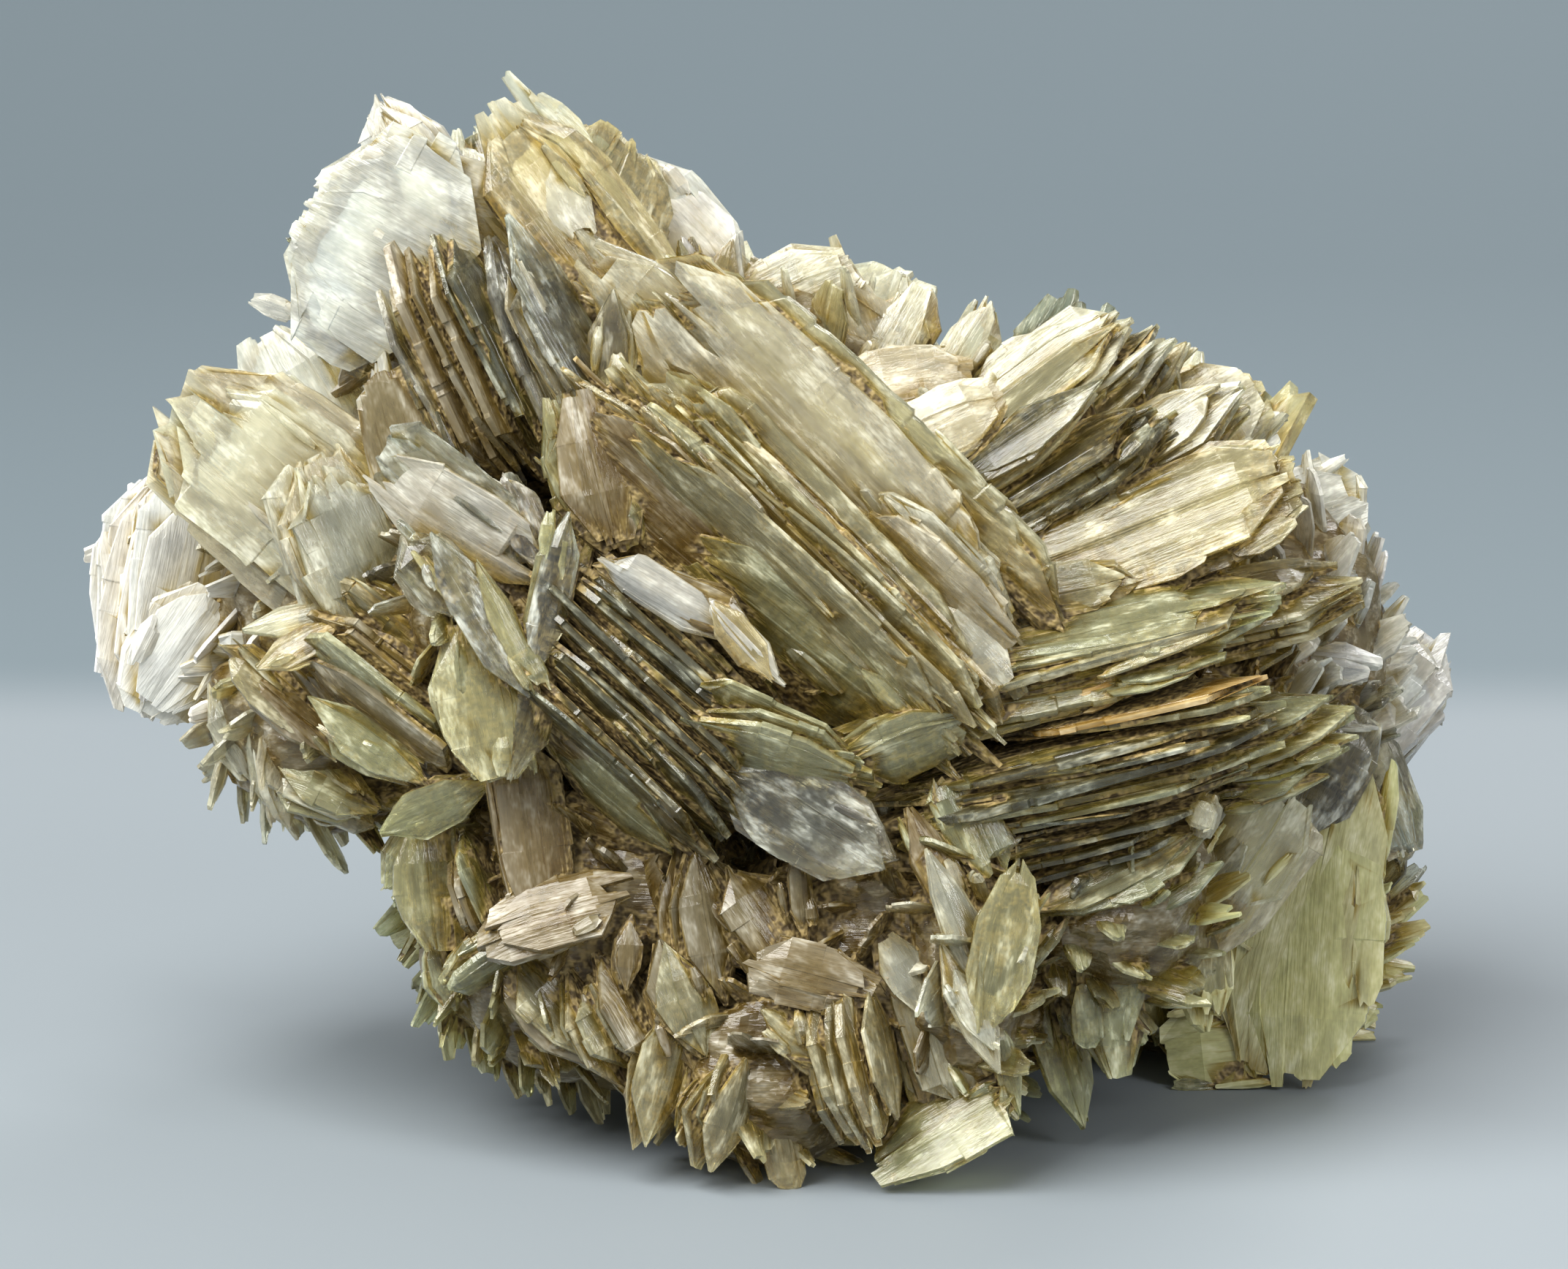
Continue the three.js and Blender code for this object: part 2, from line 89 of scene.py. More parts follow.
# The grid that a lamina is drawn on: the steps along and across it, how many there may be, how far
# apart its edges break and jump and how far out, and how uneven they are in between.
COLUMN_STEP = 3.4
ROW_STEP = 2.4
COLUMNS = (4, 12)
ROWS = (4, 8)
BREAK_ALONG = 5.5
BREAK_ACROSS = 2.3
BREAK_REACH = 0.93
BREAK_EDGE = 0.008
TEETH = 0.3

# From here back, and how much coarser, laminae are drawn, because nothing there is read closely.
COARSE_FROM = -34
COARSER = 1.5

# A form's half width at its ends and at its shoulders, as shares of the greatest, where the
# shoulders are, how ragged its sides and its ends are, where its faces start to slope to the
# rim, and how much of the thickness is gone there.
FORMS = {
    "lens": (0.03, 0.72, 0.48, 0.04, 0.03, 0.20, 0.75),
    "blade": (0.03, 0.84, 0.58, 0.03, 0.02, 0.20, 0.70),
    "leaf": (0.14, 0.90, 0.66, 0.06, 0.14, 0.50, 0.70),
    "disc": (0.42, 0.87, 0.66, 0.05, 0.06, 0.70, 0.75),
    "plate": (0.50, 0.96, 0.84, 0.06, 0.26, 0.60, 0.65),
}

# How much the shoulders of one lamina and its widest place may differ from its form's.
SHOULDER_SPREAD = 0.16
MIDDLE_SPREAD = 0.3

# The books: (right, up, near), aim, lean, roll, (length, width, thickness), form.
CREST = [
    ((-36.5, 91.5, -9), 152, 0, 12, (20, 26, 4), "disc"),
    ((-33, 100, -11), 118, 0, 22, (15, 9, 5), "leaf"),
    ((-17.1, 94.8, -10), -52, 0, 22, (32, 14, 4.5), "disc"),
    ((-28, 82, -9), -65, 0, 66, (23, 14, 12), "plate"),
    ((-20, 83, -5), -62, 0, 52, (25, 9, 6), "leaf"),
    ((-14.5, 81.5, -4), 90, 0, 20, (14, 5, 4), "blade"),
    ((-10, 86, -5), -40, 0, -20, (16, 9, 3), "plate"),
]
CENTRE = [
    ((8, 71, -1), -42, 0, -24, (46, 19, 4), "plate"),
    ((2, 67, 3), -45, 0, -32, (37, 12, 3), "plate"),
    ((6, 60, 2), -45, 0, -58, (40, 13, 8), "plate"),
    ((-2, 66, 0), -46, 0, -66, (40, 13, 5), "leaf"),
    ((18, 61, 1), -46, 0, -40, (18, 9, 6), "plate"),
    ((-8, 65.5, 0), -38, 0, -36, (30, 16, 4), "disc"),
    ((-8, 58.2, 3.5), -25, 0, -20, (17, 5, 4), "leaf"),
    ((-1.3, 54, 6), -52, 0, -15, (10, 4.4, 2.2), "leaf"),
    ((-11, 49, -1), -43, 0, -78, (31, 14, 17), "leaf"),
    ((-14, 40, -3), -42, 0, -66, (21, 10, 4.4), "leaf"),
    ((5, 53.4, 0), -40, 0, -42, (23, 12, 4), "plate"),
    ((4.5, 37.2, 2.5), -28, 6, -16, (20, 11, 4), "blade"),
    ((2, 43.5, 4), -20, 0, -48, (17, 9, 4), "plate"),
    ((14, 44, 3), 20, 0, -35, (13, 9, 3.4), "plate"),
    ((20, 53, 2.5), -50, 0, 0, (13, 8, 3), "plate"),
    ((12, 57.5, 4), -55, 0, -10, (9, 3.4, 1.8), "leaf"),
    ((13, 48.5, 4.5), -42, 0, -10, (8, 2.6, 1.5), "lens"),
]
RIGHT = [
    ((30, 53.5, -3), 12, 0, 62, (37, 14, 6), "plate"),
    ((37, 46, -3), 12, 0, 74, (27, 10, 5), "leaf"),
    ((31, 41, -4), 12, 0, 78, (37, 14, 8), "leaf"),
    ((29, 35, -6), 14, 0, 78, (31, 12, 7), "leaf"),
    ((48, 44, -11), 12, 0, 58, (23, 11, 8), "lens"),
    ((46, 56, -13), 12, 0, 66, (24, 11, 9), "leaf"),
    ((35, 31.5, -3), 22, 0, 25, (21, 6.8, 3), "blade"),
    ((40, 29.3, -6), 30, 0, 40, (13, 4, 2), "lens"),
    ((20.5, 36, 0), -60, 0, 10, (9.5, 6.5, 4), "plate"),
    ((36, 64, -9), 22, 0, 32, (35, 14, 5), "disc"),
    ((43, 66.5, -11), 35, 0, 18, (20, 12, 3.4), "disc"),
    ((43.5, 36.8, -3), 75, 0, 15, (4, 3.2, 4), "plate"),
    ((31, 59, -3.5), 10, 0, 20, (13, 6, 3), "leaf"),
    ((33, 49, 1), 17, 0, 25, (11, 3, 1.8), "lens"),
    ((50, 39.5, -10), 14, 0, 35, (12, 3.8, 2.2), "lens"),
    ((25, 48, -1), 12, 0, 58, (30, 8, 3.4), "plate"),
]
UPPER_RIGHT = [
    ((28, 68, -13), 33, 0, 60, (27, 11, 7), "leaf"),
    ((26, 73.5, -11), 38, 0, 48, (19, 7, 4), "lens"),
    ((28.2, 81, -23), 36, 0, 28, (17, 7, 4), "leaf"),
    ((32.5, 79.5, -23), 40, 0, 35, (13, 5, 4), "lens"),
    ((38, 79.5, -24), 38, 0, 30, (12, 4.6, 4), "lens"),
    ((42, 75, -26), 28, 0, 10, (16, 12, 4), "disc"),
    ((47, 74, -33), 20, 0, 20, (9, 4.4, 3), "leaf"),
    ((29, 76, -20), 38, 0, 58, (25, 10, 9), "leaf"),
    ((38, 72.5, -17), 33, 0, 44, (21, 9, 6), "leaf"),
    ((17, 74.5, -12), 28, 0, 14, (17, 9, 3), "disc"),
    ((-7.8, 93.5, -36), -50, 0, 10, (17, 12, 4), "disc"),
    ((-6.3, 89.3, -32), 100, 0, 20, (9, 3, 4), "lens"),
    ((-3.5, 88.2, -32), 76, 0, 15, (12, 5, 4), "lens"),
    ((3.5, 87.2, -35), 24, 0, 10, (14, 11, 5), "disc"),
    ((9, 82, -34), -62, 0, 5, (18, 12, 4), "plate"),
    ((13.5, 83, -33), 62, 0, 10, (10, 7, 3), "plate"),
    ((20, 82, -30), 62, 0, 15, (12, 5.4, 3.5), "leaf"),
    ((14, 79, -26), 8, 0, 20, (15, 9, 3), "disc"),
    ((25, 80.5, -27), 38, 0, 20, (10, 5.4, 3), "leaf"),
    ((21, 76, -15), 60, 0, 20, (9, 6, 3), "leaf"),
]
LEFT = [
    ((-44, 67.5, -13), 142, 0, 5, (29, 19, 6), "plate"),
    ((-44, 76.5, -23), 118, 0, 12, (18, 13, 4), "disc"),
    ((-33, 72, -9), 100, 0, 20, (17, 12, 4), "plate"),
    ((-40.5, 63.5, -9), -70, 0, 30, (15, 13, 5), "plate"),
    ((-58, 58.5, -31), 84, 0, -32, (23, 14, 11), "disc"),
    ((-56.5, 53, -26), 60, 0, -20, (14, 12, 6), "disc"),
    ((-44.5, 53.3, -5), 24, 0, 30, (10, 4.4, 2.2), "lens"),
    ((-38, 43.7, -4), -36, 0, 18, (15, 6.2, 3), "lens"),
    ((-46, 48, -10), -40, 0, 22, (16, 6, 3), "leaf"),
    ((-36, 48.5, -7), -38, 0, -58, (20, 11, 8), "plate"),
    ((-32, 37.7, -4), 207, 0, 18, (12, 6, 2.6), "lens"),
    ((-47.5, 41.7, -16), -80, 0, 12, (12, 5, 3), "leaf"),
    ((-42, 39, -14), -22, 0, 25, (12, 6, 5), "leaf"),
    ((-27, 48, 2), -82, 0, 10, (17, 10, 3), "disc"),
    ((-22.5, 46.7, 2), -104, 0, 15, (13, 5, 3), "leaf"),
    ((-27.5, 57, 5), -54, 0, 14, (20, 5, 2.5), "blade"),
    ((-31, 60, 2), -52, 0, 20, (15, 8, 3), "leaf"),
    ((-29, 66, 1), -35, 0, -28, (17, 10, 4), "plate"),
    ((-20.3, 58.5, 4), -103, 0, 12, (16, 4.6, 2.6), "leaf"),
    ((-16, 70.5, 0), -72, 0, 22, (17, 10, 5), "disc"),
    ((-16, 58, -3), -76, 0, 30, (16, 8, 3), "plate"),
    ((-24.5, 55, 4.5), -62, 0, 30, (15, 3.6, 2), "lens"),
    ((-22.7, 65, 1.5), -62, 0, 12, (11, 5, 3), "leaf"),
    ((-50.3, 45, -20), -68, 0, 10, (11, 6, 4), "plate"),
    ((-36, 54.5, -8), -38, 0, -48, (17, 8, 4), "plate"),
    ((-45, 56.3, -7), 10, 0, 38, (11, 4.4, 2.2), "lens"),
]
UNDERSIDE = [
    ((-31.3, 30.7, -9), -88, 0, 10, (14, 9, 3), "disc"),
    ((-22, 35.5, -4), -82, 0, 16, (21, 8, 3), "leaf"),
    ((-20, 27, -2), 20, 0, 30, (14, 8, 4), "plate"),
    ((-30.8, 22, -12), -82, 0, 20, (9, 4.4, 3), "lens"),
    ((-26, 23, -7), -148, 0, 56, (11, 7, 4), "leaf"),
    ((-13, 23.2, -1.5), -96, 0, 12, (8, 3.4, 3), "blade"),
    ((-19.5, 17.5, -7), -50, 0, 20, (14, 8, 4), "leaf"),
    ((-14, 16.5, -4), -62, 0, 48, (14, 9, 7), "leaf"),
    ((-9.5, 11.5, -1), -102, 0, 22, (15, 7, 5), "lens"),
    ((-4, 8.5, 0), -108, 0, 38, (13, 8, 6), "lens"),
    ((2.2, 4.9, -2), -80, 0, 10, (11, 4, 2.6), "leaf"),
    ((-6, 26, -3), -82, 0, 38, (17, 8, 6), "lens"),
    ((5, 21.5, 2), -18, 0, 8, (11, 7, 3), "plate"),
    ((9, 13, 1), -76, 0, 64, (16, 9, 8), "leaf"),
    ((18, 6.5, -1), 32, 0, 38, (14, 9, 3), "plate"),
    ((17.5, 16, -3), -76, 0, 20, (19, 9, 5), "leaf"),
    ((20, 26, 4), -66, 0, 24, (17, 5, 3), "lens"),
    ((20.8, 18, 5), -63, 0, 20, (14, 4.6, 2.6), "lens"),
    ((24, 13, -1), -76, 0, 18, (11, 3.4, 2), "lens"),
    ((24, 23.5, 5), -97, 0, 10, (16, 6.6, 2.6), "leaf"),
    ((29.5, 16.2, -16), -75, 0, 28, (22, 7, 3.4), "blade"),
    ((34, 21, -12), -84, 0, 18, (19, 8, 3.6), "disc"),
    ((38, 14.5, -17), -88, 0, 14, (21, 6, 3), "blade"),
    ((-8, 18.5, -1.5), -74, 0, 26, (13, 7, 5), "lens"),
    ((4.3, 14.5, 2), -42, 0, 15, (11, 5, 2), "lens"),
    ((0, 26, -3), -58, 0, 30, (14, 8, 5), "leaf"),
    ((-14, 33, -9), -20, 0, -40, (19, 11, 4), "plate"),
    ((14.3, 21.5, 0), -62, 0, 10, (9, 5, 2.4), "disc"),
    ((18, 31, 2), -62, 0, 28, (16, 4.4, 2.6), "leaf"),
    ((-27, 29, -8), -70, 0, 66, (14, 8, 5), "leaf"),
    ((-34, 33.5, -14), -120, 0, 10, (9, 5, 4), "leaf"),
    ((4, 29.5, -1), -86, 0, 15, (10, 4, 2.4), "lens"),
]
LOWER_RIGHT = [
    ((53, 27, -38), 82, 0, 8, (37, 19, 4), "disc"),
    ((45.5, 14.5, -39), 8, 0, 5, (16, 12, 3.6), "disc"),
    ((47.5, 33, -22), 52, 0, 10, (18, 11, 2.6), "plate"),
    ((55, 41, -36), 58, 0, 10, (15, 10, 3), "disc"),
    ((60.3, 40, -46), -66, 0, 5, (16, 8.5, 2.6), "disc"),
    ((57.3, 47.3, -42), 20, 0, 10, (9, 6, 3), "plate"),
    ((53, 65.5, -46), 20, 0, 8, (14, 12, 3.4), "plate"),
    ((53.5, 58, -40), 14, 0, 60, (11, 8, 5), "leaf"),
    ((55.5, 51.8, -36), -8, 0, 20, (9, 6, 3), "plate"),
    ((43, 24, -22), -80, 0, 38, (15, 7, 4), "leaf"),
]
BEHIND = [
    ((-31, 92, -31), 105, -22, 24, (25, 22, 6), "disc"),
    ((-18, 92, -27), 70, -26, -22, (26, 20, 6), "disc"),
    ((-30, 76, -42), 158, -18, 34, (30, 20, 8), "leaf"),
    ((-10, 84, -46), 62, -34, 26, (26, 18, 7), "plate"),
    ((8, 82, -52), 48, -28, 38, (24, 16, 7), "disc"),
    ((24, 75, -48), 38, -18, 42, (27, 16, 7), "leaf"),
    ((40, 66, -48), 24, -26, 36, (26, 17, 9), "disc"),
    ((-56, 60, -44), 118, -30, 20, (24, 18, 8), "disc"),
    ((54, 30, -62), 78, -22, 26, (31, 19, 7), "disc"),
    ((43, 28.5, -72), 112, -12, -14, (30, 19, 8), "leaf"),
    ((-15, 26, -60), 98, -8, 24, (30, 16, 8), "leaf"),
    ((58, 47, -58), 40, -34, 30, (24, 16, 7), "plate"),
]

# Lobes of clay and massive gypsum in which the books are rooted, with their radii, and how fine,
# how much smaller than the solid's and how lumpy they are.
LOBES = {
    "crest": [((-25, 84, -22), (15, 15, 12)), ((0, 79, -40), (17, 12, 16))],
    "centre": [((2, 53, -32), (36, 27, 31)), ((-26, 56, -10), (10, 12, 12))],
    "right": [((34, 50, -30), (21, 17, 25)), ((34, 30, -19), (12, 13, 17))],
    "upper_right": [((29, 71, -34), (21, 10, 19))],
    "left": [
        ((-34, 58, -30), (21, 17, 23)),
        ((-41, 46, -24), (14, 11, 14)),
        ((-52, 60, -38), (11, 11, 10)),
    ],
    "underside": [
        ((-15, 27, -23), (20, 18, 20)),
        ((1, 12, -9), (12, 10, 11)),
        ((13, 24, -20), (18, 19, 21)),
        ((20, 23, -6), (7, 15, 10)),
    ],
    "lower_right": [((44, 29, -56), (20, 18, 17)), ((47, 53, -49), (16, 20, 17))],
    "rear_left": [((-14, 54, -54), (28, 29, 22))],
    "rear_right": [((18, 54, -56), (29, 29, 22))],
}
LOBE_DETAIL = 5
LOBE_SHRINK = 0.93
LOBE_LUMP = 1.5
LOBE_LUMP_SIZE = 7.0
LOBE_OCTAVES = 4

# The hidden half: books in a spiral of even steps round its middle, as in the solid. They stand
# only on its far side, and not so low that they would be cut away whole.
BACK_CENTRE = (2, 53, -46)
BACK_RADII = (46, 27, 32)
BACK_BOOKS = 50
BACK_SWIRL = 38.0
BACK_SPREAD = 30.0
BACK_LENGTH = (20, 32)
BACK_WIDTH = (12, 20)
BACK_DEPTH = (6, 11)
BACK_LEAN = 0.6
BACK_ROLL = (40, 90)
BACK_HIDDEN = 0.12
BACK_LOWEST = 14
BACK_LOWEST_SLOPE = 0.2
BACK_FORMS = ("leaf", "plate", "disc", "leaf")

# Small flakes and long splinters on each book: how many for each square millimetre, their length
# as a share of the book's, their width as a share of that, their thickness, and how far they turn.
# After that, how far they tip, how far out they lie as a share of the book, their least width, and
# the step from the book's seed to theirs.
CHIPS = {
    "flake": (0.016, (0.14, 0.32), (0.30, 0.60), (0.6, 1.3), 16.0),
    "splinter": (0.022, (0.20, 0.45), (0.10, 0.22), (0.7, 1.2), 7.0),
}
CHIP_TIP = 6.0
CHIP_SIDE = 0.42
CHIP_LEAST_WIDTH = 1.0
CHIP_SEED_STEP = 1

# Small blades that stand all over a lobe: how many for each square millimetre, their length, their
# width as a share of it, their thickness, where they stand as a share of the lobe, and their turns.
DRUSE_PER_AREA = 0.034
DRUSE_LENGTH = (4.5, 9.5)
DRUSE_WIDTH = (0.35, 0.75)
DRUSE_THICKNESS = (0.7, 1.5)
DRUSE_SUNK = 0.92
DRUSE_LEAN = 0.75
DRUSE_SWIRL = 36.0
DRUSE_SPREAD = 16.0
DRUSE_ROLL = (35.0, 85.0)

# The body colours, as linear red, green, blue and how clear the crystal is.
TINTS = {
    "milky": (0.95, 0.93, 0.86, 0.35),
    "white": (0.94, 0.93, 0.83, 0.70),
    "cream": (0.93, 0.90, 0.68, 0.76),
    "honey": (0.91, 0.83, 0.46, 0.85),
    "orange": (0.88, 0.62, 0.24, 0.58),
    "amber": (0.96, 0.88, 0.42, 0.52),
    "green": (0.83, 0.84, 0.46, 0.84),
    "grey": (0.56, 0.57, 0.37, 0.95),
    "glass": (0.90, 0.93, 0.80, 0.97),
    # The dark brown is the clay of the lobes, and in recesses and on the underside it is also painted
    # shade.
    "brown_and_shade": (0.26, 0.20, 0.09, 0.50),
}
TINT_SPREAD = 0.11
WARMTH_SPREAD = 0.055
TINT_MIX = 4.0
BRIGHTEST = 0.95

# Which colour prevails round which place on the show side, as right and up. The dark brown in
# recesses and on the underside is partly the crystals' own and partly painted shade.
TINT_ZONES = {
    "milky": [(-58, 58)],
    "white": [(-40, 96), (-42, 84), (-8, 95), (-6, 57), (53, 68), (56, 53), (-48, 72), (-33, 72)],
    "cream": [
        (-20, 99), (-14, 82), (4, 88), (16, 83), (14, 74), (18, 57), (30, 82), (42, 77), (-42, 64),
        (-48, 41), (20, 22), (43.5, 37),
    ],
    "honey": [
        (-12, 90), (4, 76), (10, 68), (-4, 68), (8, 58), (38, 72), (42, 65), (30, 59), (46, 56),
        (-42, 54), (-44, 46), (-16, 16), (-6, 10), (9, 14),
    ],
    "orange": [(38, 53.5), (62, 16)],
    "amber": [(50, 30), (46, 14), (57, 20)],
    "green": [
        (-12, 38), (5, 45), (16, 48), (30, 53), (34, 45), (48, 43), (36, 31), (20, 35), (-34, 42),
        (-27, 48), (-20, 56), (-18, 70), (-30, 31), (-28, 22), (18, 8), (26, 20), (32, 18),
        (38, 14),
    ],
    "grey": [(-31, 84), (-12, 50), (28, 70), (30, 38)],
    "glass": [(-20, 84), (5, 37), (61, 38), (-28, 60)],
    # These brown zones sit in recesses and under the overhangs: partly brown crystal, partly painted
    # shade.
    "brown_and_shade": [
        (-28, 78), (-20, 74), (-8, 62), (-36, 50), (-22, 32), (-12, 26), (2, 24), (-18, 24),
        (-4, 18), (10, 20), (-24, 28), (-41, 49), (14, 33), (-14, 36),
    ],
}

# The streaks, the milky veil and the grit of the clay: how each is stretched along the blade, and
# its noise as scale, detail and roughness.
STREAK_SCALE = (0.16, 2.6, 1.2)
STREAK_NOISE = (1.0, 3.0, 0.65)
VEIL_SCALE = (0.22, 0.52, 0.52)
VEIL_NOISE = (1.0, 3.0, 0.75)
GRIT_NOISE = (1300.0, 1.0, 0.6)

# The colours of milky patches, of the brown film and of the clay. The film and the clay lie where
# points are shut in, so they are real stain and clay and also painted shade in the recesses.
MILK_COLOUR = (0.92, 0.92, 0.83, 1.0)
STAIN_AND_SHADE_COLOUR = (0.52, 0.40, 0.145, 1.0)
CLAY_DARK = (0.075, 0.050, 0.020, 1.0)
CLAY_LIGHT = (0.34, 0.25, 0.10, 1.0)

# How one value of the material follows another: from and to which value of the other it changes,
# and what it is at each of the two, where that isn't 0 and 1.
CLOUD_BY_VEIL = (0.30, 0.58, 0.76, 1.05)
MILK_BY_VEIL = (0.44, 0.80, 0.0, 0.5)
SOIL_BY_STREAK = (0.5, 0.68, 0.0, 0.16)
SOIL_AND_SHADE_BY_BLUE = (0.3, 0.8, 1.1, 0.55)
FILM_BY_SOIL_AND_SHADE = (0.05, 0.50)
CLAY_BY_SOIL_AND_SHADE = (0.45, 0.68)
EARTH_BY_GRIT = (0.35, 0.65)
CLEARNESS_BY_MILK = (0.0, 0.7, 1.0, 0.4)
ROUGHNESS_BY_STREAK = (0.3, 0.7, 0.06, 0.20)

# The milk at a rim, the roughness that clay adds, the reliefs and their depths, and the optics.
RIM_MILK = 0.12
CLAY_ROUGHNESS = 0.5
STREAK_RELIEF = 0.35
STREAK_DEPTH = 0.0004
GRIT_RELIEF = 0.8
GRIT_DEPTH = 0.0006
GYPSUM_IOR = 1.52
FULL = 1.0

# The stage: half its width, where its floor starts, where and how widely it bends up, in how many
# steps, and how high its wall is.
STAGE_HALF = 2.0
FLOOR_FRONT = -1.2
BEND_START = 0.5
BEND_RADIUS = 0.5
BEND_STEPS = 15
WALL_TOP = 2.5

# Where behind the specimen the floor's colour gives way to the backdrop's darker grey, which is
# painted shade on the pale sweep, and over what length.
FLOOR_END = 0.18
FLOOR_BLEND = 0.02
FLOOR_ROUGHNESS = 0.6
FLOOR_COLOUR = (0.200, 0.228, 0.252, 1.0)
# The backdrop's grey is darker than the floor's as painted shade, not as a colour of its own.
SHADED_WALL_COLOUR = (0.128, 0.161, 0.183, 1.0)

# The lights: place, size, watts and colour. All face one point of the specimen.
LIGHTS = {
    "key_panel": ((-0.40, -0.36, 0.80), 0.80, 22.5, (1.0, 0.99, 0.95)),
    "fill_panel": ((0.70, -0.60, 0.60), 0.4, 3.6, (1.0, 1.0, 0.98)),
    "rim_panel": ((0.30, 0.60, 0.7), 0.4, 4.0, (1.0, 1.0, 1.0)),
}
LIGHT_TARGET = Vector((0, 0, 0.05))
WORLD_COLOUR = (1.0, 0.99, 0.96, 1.0)
WORLD_STRENGTH = 0.55

# Half the width of the block that cuts the specimen flat at the floor, and its depth.
BLOCK_SIDE = 0.4

# A shell of fewer points than this is a splinter that floats.
LEAST_SHELL = 900

# How each point feels for what shuts it in, a mark that lays clay and painted shade into hollows:
# the rays, the turn from one to the next, how far they reach, where they start, and by how much a
# far hit counts less than a near one.
HOLLOW_RAYS = 8
HOLLOW_TURN = 2.4
HOLLOW_REACH = 0.009
HOLLOW_START = 0.00015
HOLLOW_FADE = 0.6

# The patches in which dirt gathers: their size, their share of the mark and their noise.
PATCH_SIZE = 0.006
PATCH_SHARE = 0.22
PATCH_NOISE = (0.7, 2.0, 4)


def chance_from(at):
    """A repeatable source of numbers from 0 to 1, seeded by a place so that each book has its own."""
    state = 0
    for part, prime in zip(at, SEED_PRIMES):
        state = (state + math.floor((part + SEED_SHIFT) * SEED_STEPS + 0.5) * prime) % CHANCE_LIMIT

    def chance():
        nonlocal state
        state = (state * CHANCE_FACTOR + CHANCE_STEP) % CHANCE_LIMIT
        return state / CHANCE_LIMIT

    return chance


def between(bounds, chance):
    """A number from one bound to the other."""
    return bounds[0] + (bounds[1] - bounds[0]) * chance()


def either(size, chance):
    """A number from -size to size."""
    return size * (2 * chance() - 1)


def link(item):
    """Puts an object into the scene."""
    bpy.context.scene.collection.objects.link(item)


def seen(at):
    """Where a point read at (right, up) on the picture lies, when it is `near` before the plane."""
    grow = (VIEW_DISTANCE - at[2]) / VIEW_DISTANCE
    return Vector((
        VIEW_CENTRE[0] + (at[0] - VIEW_CENTRE[0]) * grow,
        VIEW_CENTRE[1] + (at[1] - VIEW_CENTRE[1]) * grow,
        at[2],
    ))


def axes_of(aim, lean, roll):
    """A book's axes along, across and out of its face, in the viewer's right, up and near."""
    aim, lean, roll = (math.radians(angle) for angle in (aim, lean, roll))
    along = Vector((
        math.cos(aim) * math.cos(lean),
        math.sin(aim) * math.cos(lean),
        math.sin(lean),
    ))
    facing = (Vector((0, 0, 1)) - along * along.z).normalized()
    face = facing * math.cos(roll) + facing.cross(along) * math.sin(roll)
    across = face.cross(along)
    return Matrix((along, across, face)).transposed().to_4x4()


def book_place(at, aim, lean, roll):
    """The move from a book's own millimetres to its place in the specimen, in metres."""
    return TO_SPECIMEN @ Matrix.Translation(seen(at)) @ axes_of(aim, lean, roll)


def spiral(count):
    """Directions that cover a ball evenly, in a spiral from its top to its foot."""
    directions = []
    for k in range(count):
        height = 1 - (2 * k + 1) / count
        turn = k * math.pi * GOLDEN_SHARE
        ring = math.sqrt(1 - height * height)
        directions.append((ring * math.cos(turn), height, ring * math.sin(turn)))
    return directions


def back_books():
    """The books of the hidden half, from a spiral that covers the whole ball."""
    chance = chance_from(BACK_CENTRE)
    rows = []
    for k, out in enumerate(spiral(BACK_BOOKS)):
        at = tuple(c + r * o for c, r, o in zip(BACK_CENTRE, BACK_RADII, out))
        lean = math.degrees(math.asin(out[2])) * BACK_LEAN
        roll = between(BACK_ROLL, chance)
        size = [between(bounds, chance) for bounds in (BACK_LENGTH, BACK_WIDTH, BACK_DEPTH)]
        aim = math.degrees(math.atan2(out[1], out[0])) + BACK_SWIRL + either(BACK_SPREAD, chance)
        lowest = BACK_LOWEST - at[2] * BACK_LOWEST_SLOPE
        if out[2] < -BACK_HIDDEN and at[1] > lowest:
            rows.append((at, aim, lean, roll, size, BACK_FORMS[k % len(BACK_FORMS)]))
    return rows


def tint_at(at, chance):
    """The colour and clearness that prevail at a place, varied a little."""
    spot = [part + either(TINT_MIX, chance) for part in at[:2]]
    nearest = min(TINTS, key=lambda name: min(math.dist(zone, spot) for zone in TINT_ZONES[name]))
    red, green, blue, clearness = TINTS[nearest]
    shade = 1 + either(TINT_SPREAD, chance)
    warmth = 1 + either(WARMTH_SPREAD, chance)
    varied = (red * shade * warmth, green * shade, blue * shade / warmth)
    return (*(min(part, BRIGHTEST) for part in varied), clearness)


def breaks_of(length, step, chance):
    """Places along an edge where it has broken off along the cleavage."""
    return sorted(either(BREAK_REACH, chance) for _ in range(max(1, round(length / step))))


def grid_places(length, step, bounds, breaks):
    """Places from -1 to 1 along one side of the grid, with two close together at each break."""
    count = int(min(max(length / step, bounds[0]), bounds[1]))
    places = list(np.linspace(-1, 1, count))
    for place in breaks:
        places += [place - BREAK_EDGE, place + BREAK_EDGE]
    return np.array(sorted(places))


def broken(places, breaks, chance):
    """An edge's offset at each place: it jumps at each break, and every point is a little off."""
    depths = np.array([either(1.0, chance) for _ in range(len(breaks) + 1)])
    teeth = np.array([either(TEETH, chance) for _ in places])
    return depths[np.searchsorted(breaks, places)] + teeth


def half_width(places, width, form, chance):
    """Half a lamina's width at each place along it, between straight edges."""
    end, shoulder, where = form[:3]
    spread = [either(SHOULDER_SPREAD, chance) for _ in range(4)]
    corners = (
        -1,
        -where * (1 + spread[0]),
        either(MIDDLE_SPREAD, chance),
        where * (1 + spread[1]),
        1,
    )
    shares = (end, shoulder * (1 + spread[2]), 1.0, shoulder * (1 + spread[3]), end)
    return (np.interp(places, corners, shares) * width / 2).clip(LEAST_HALF)


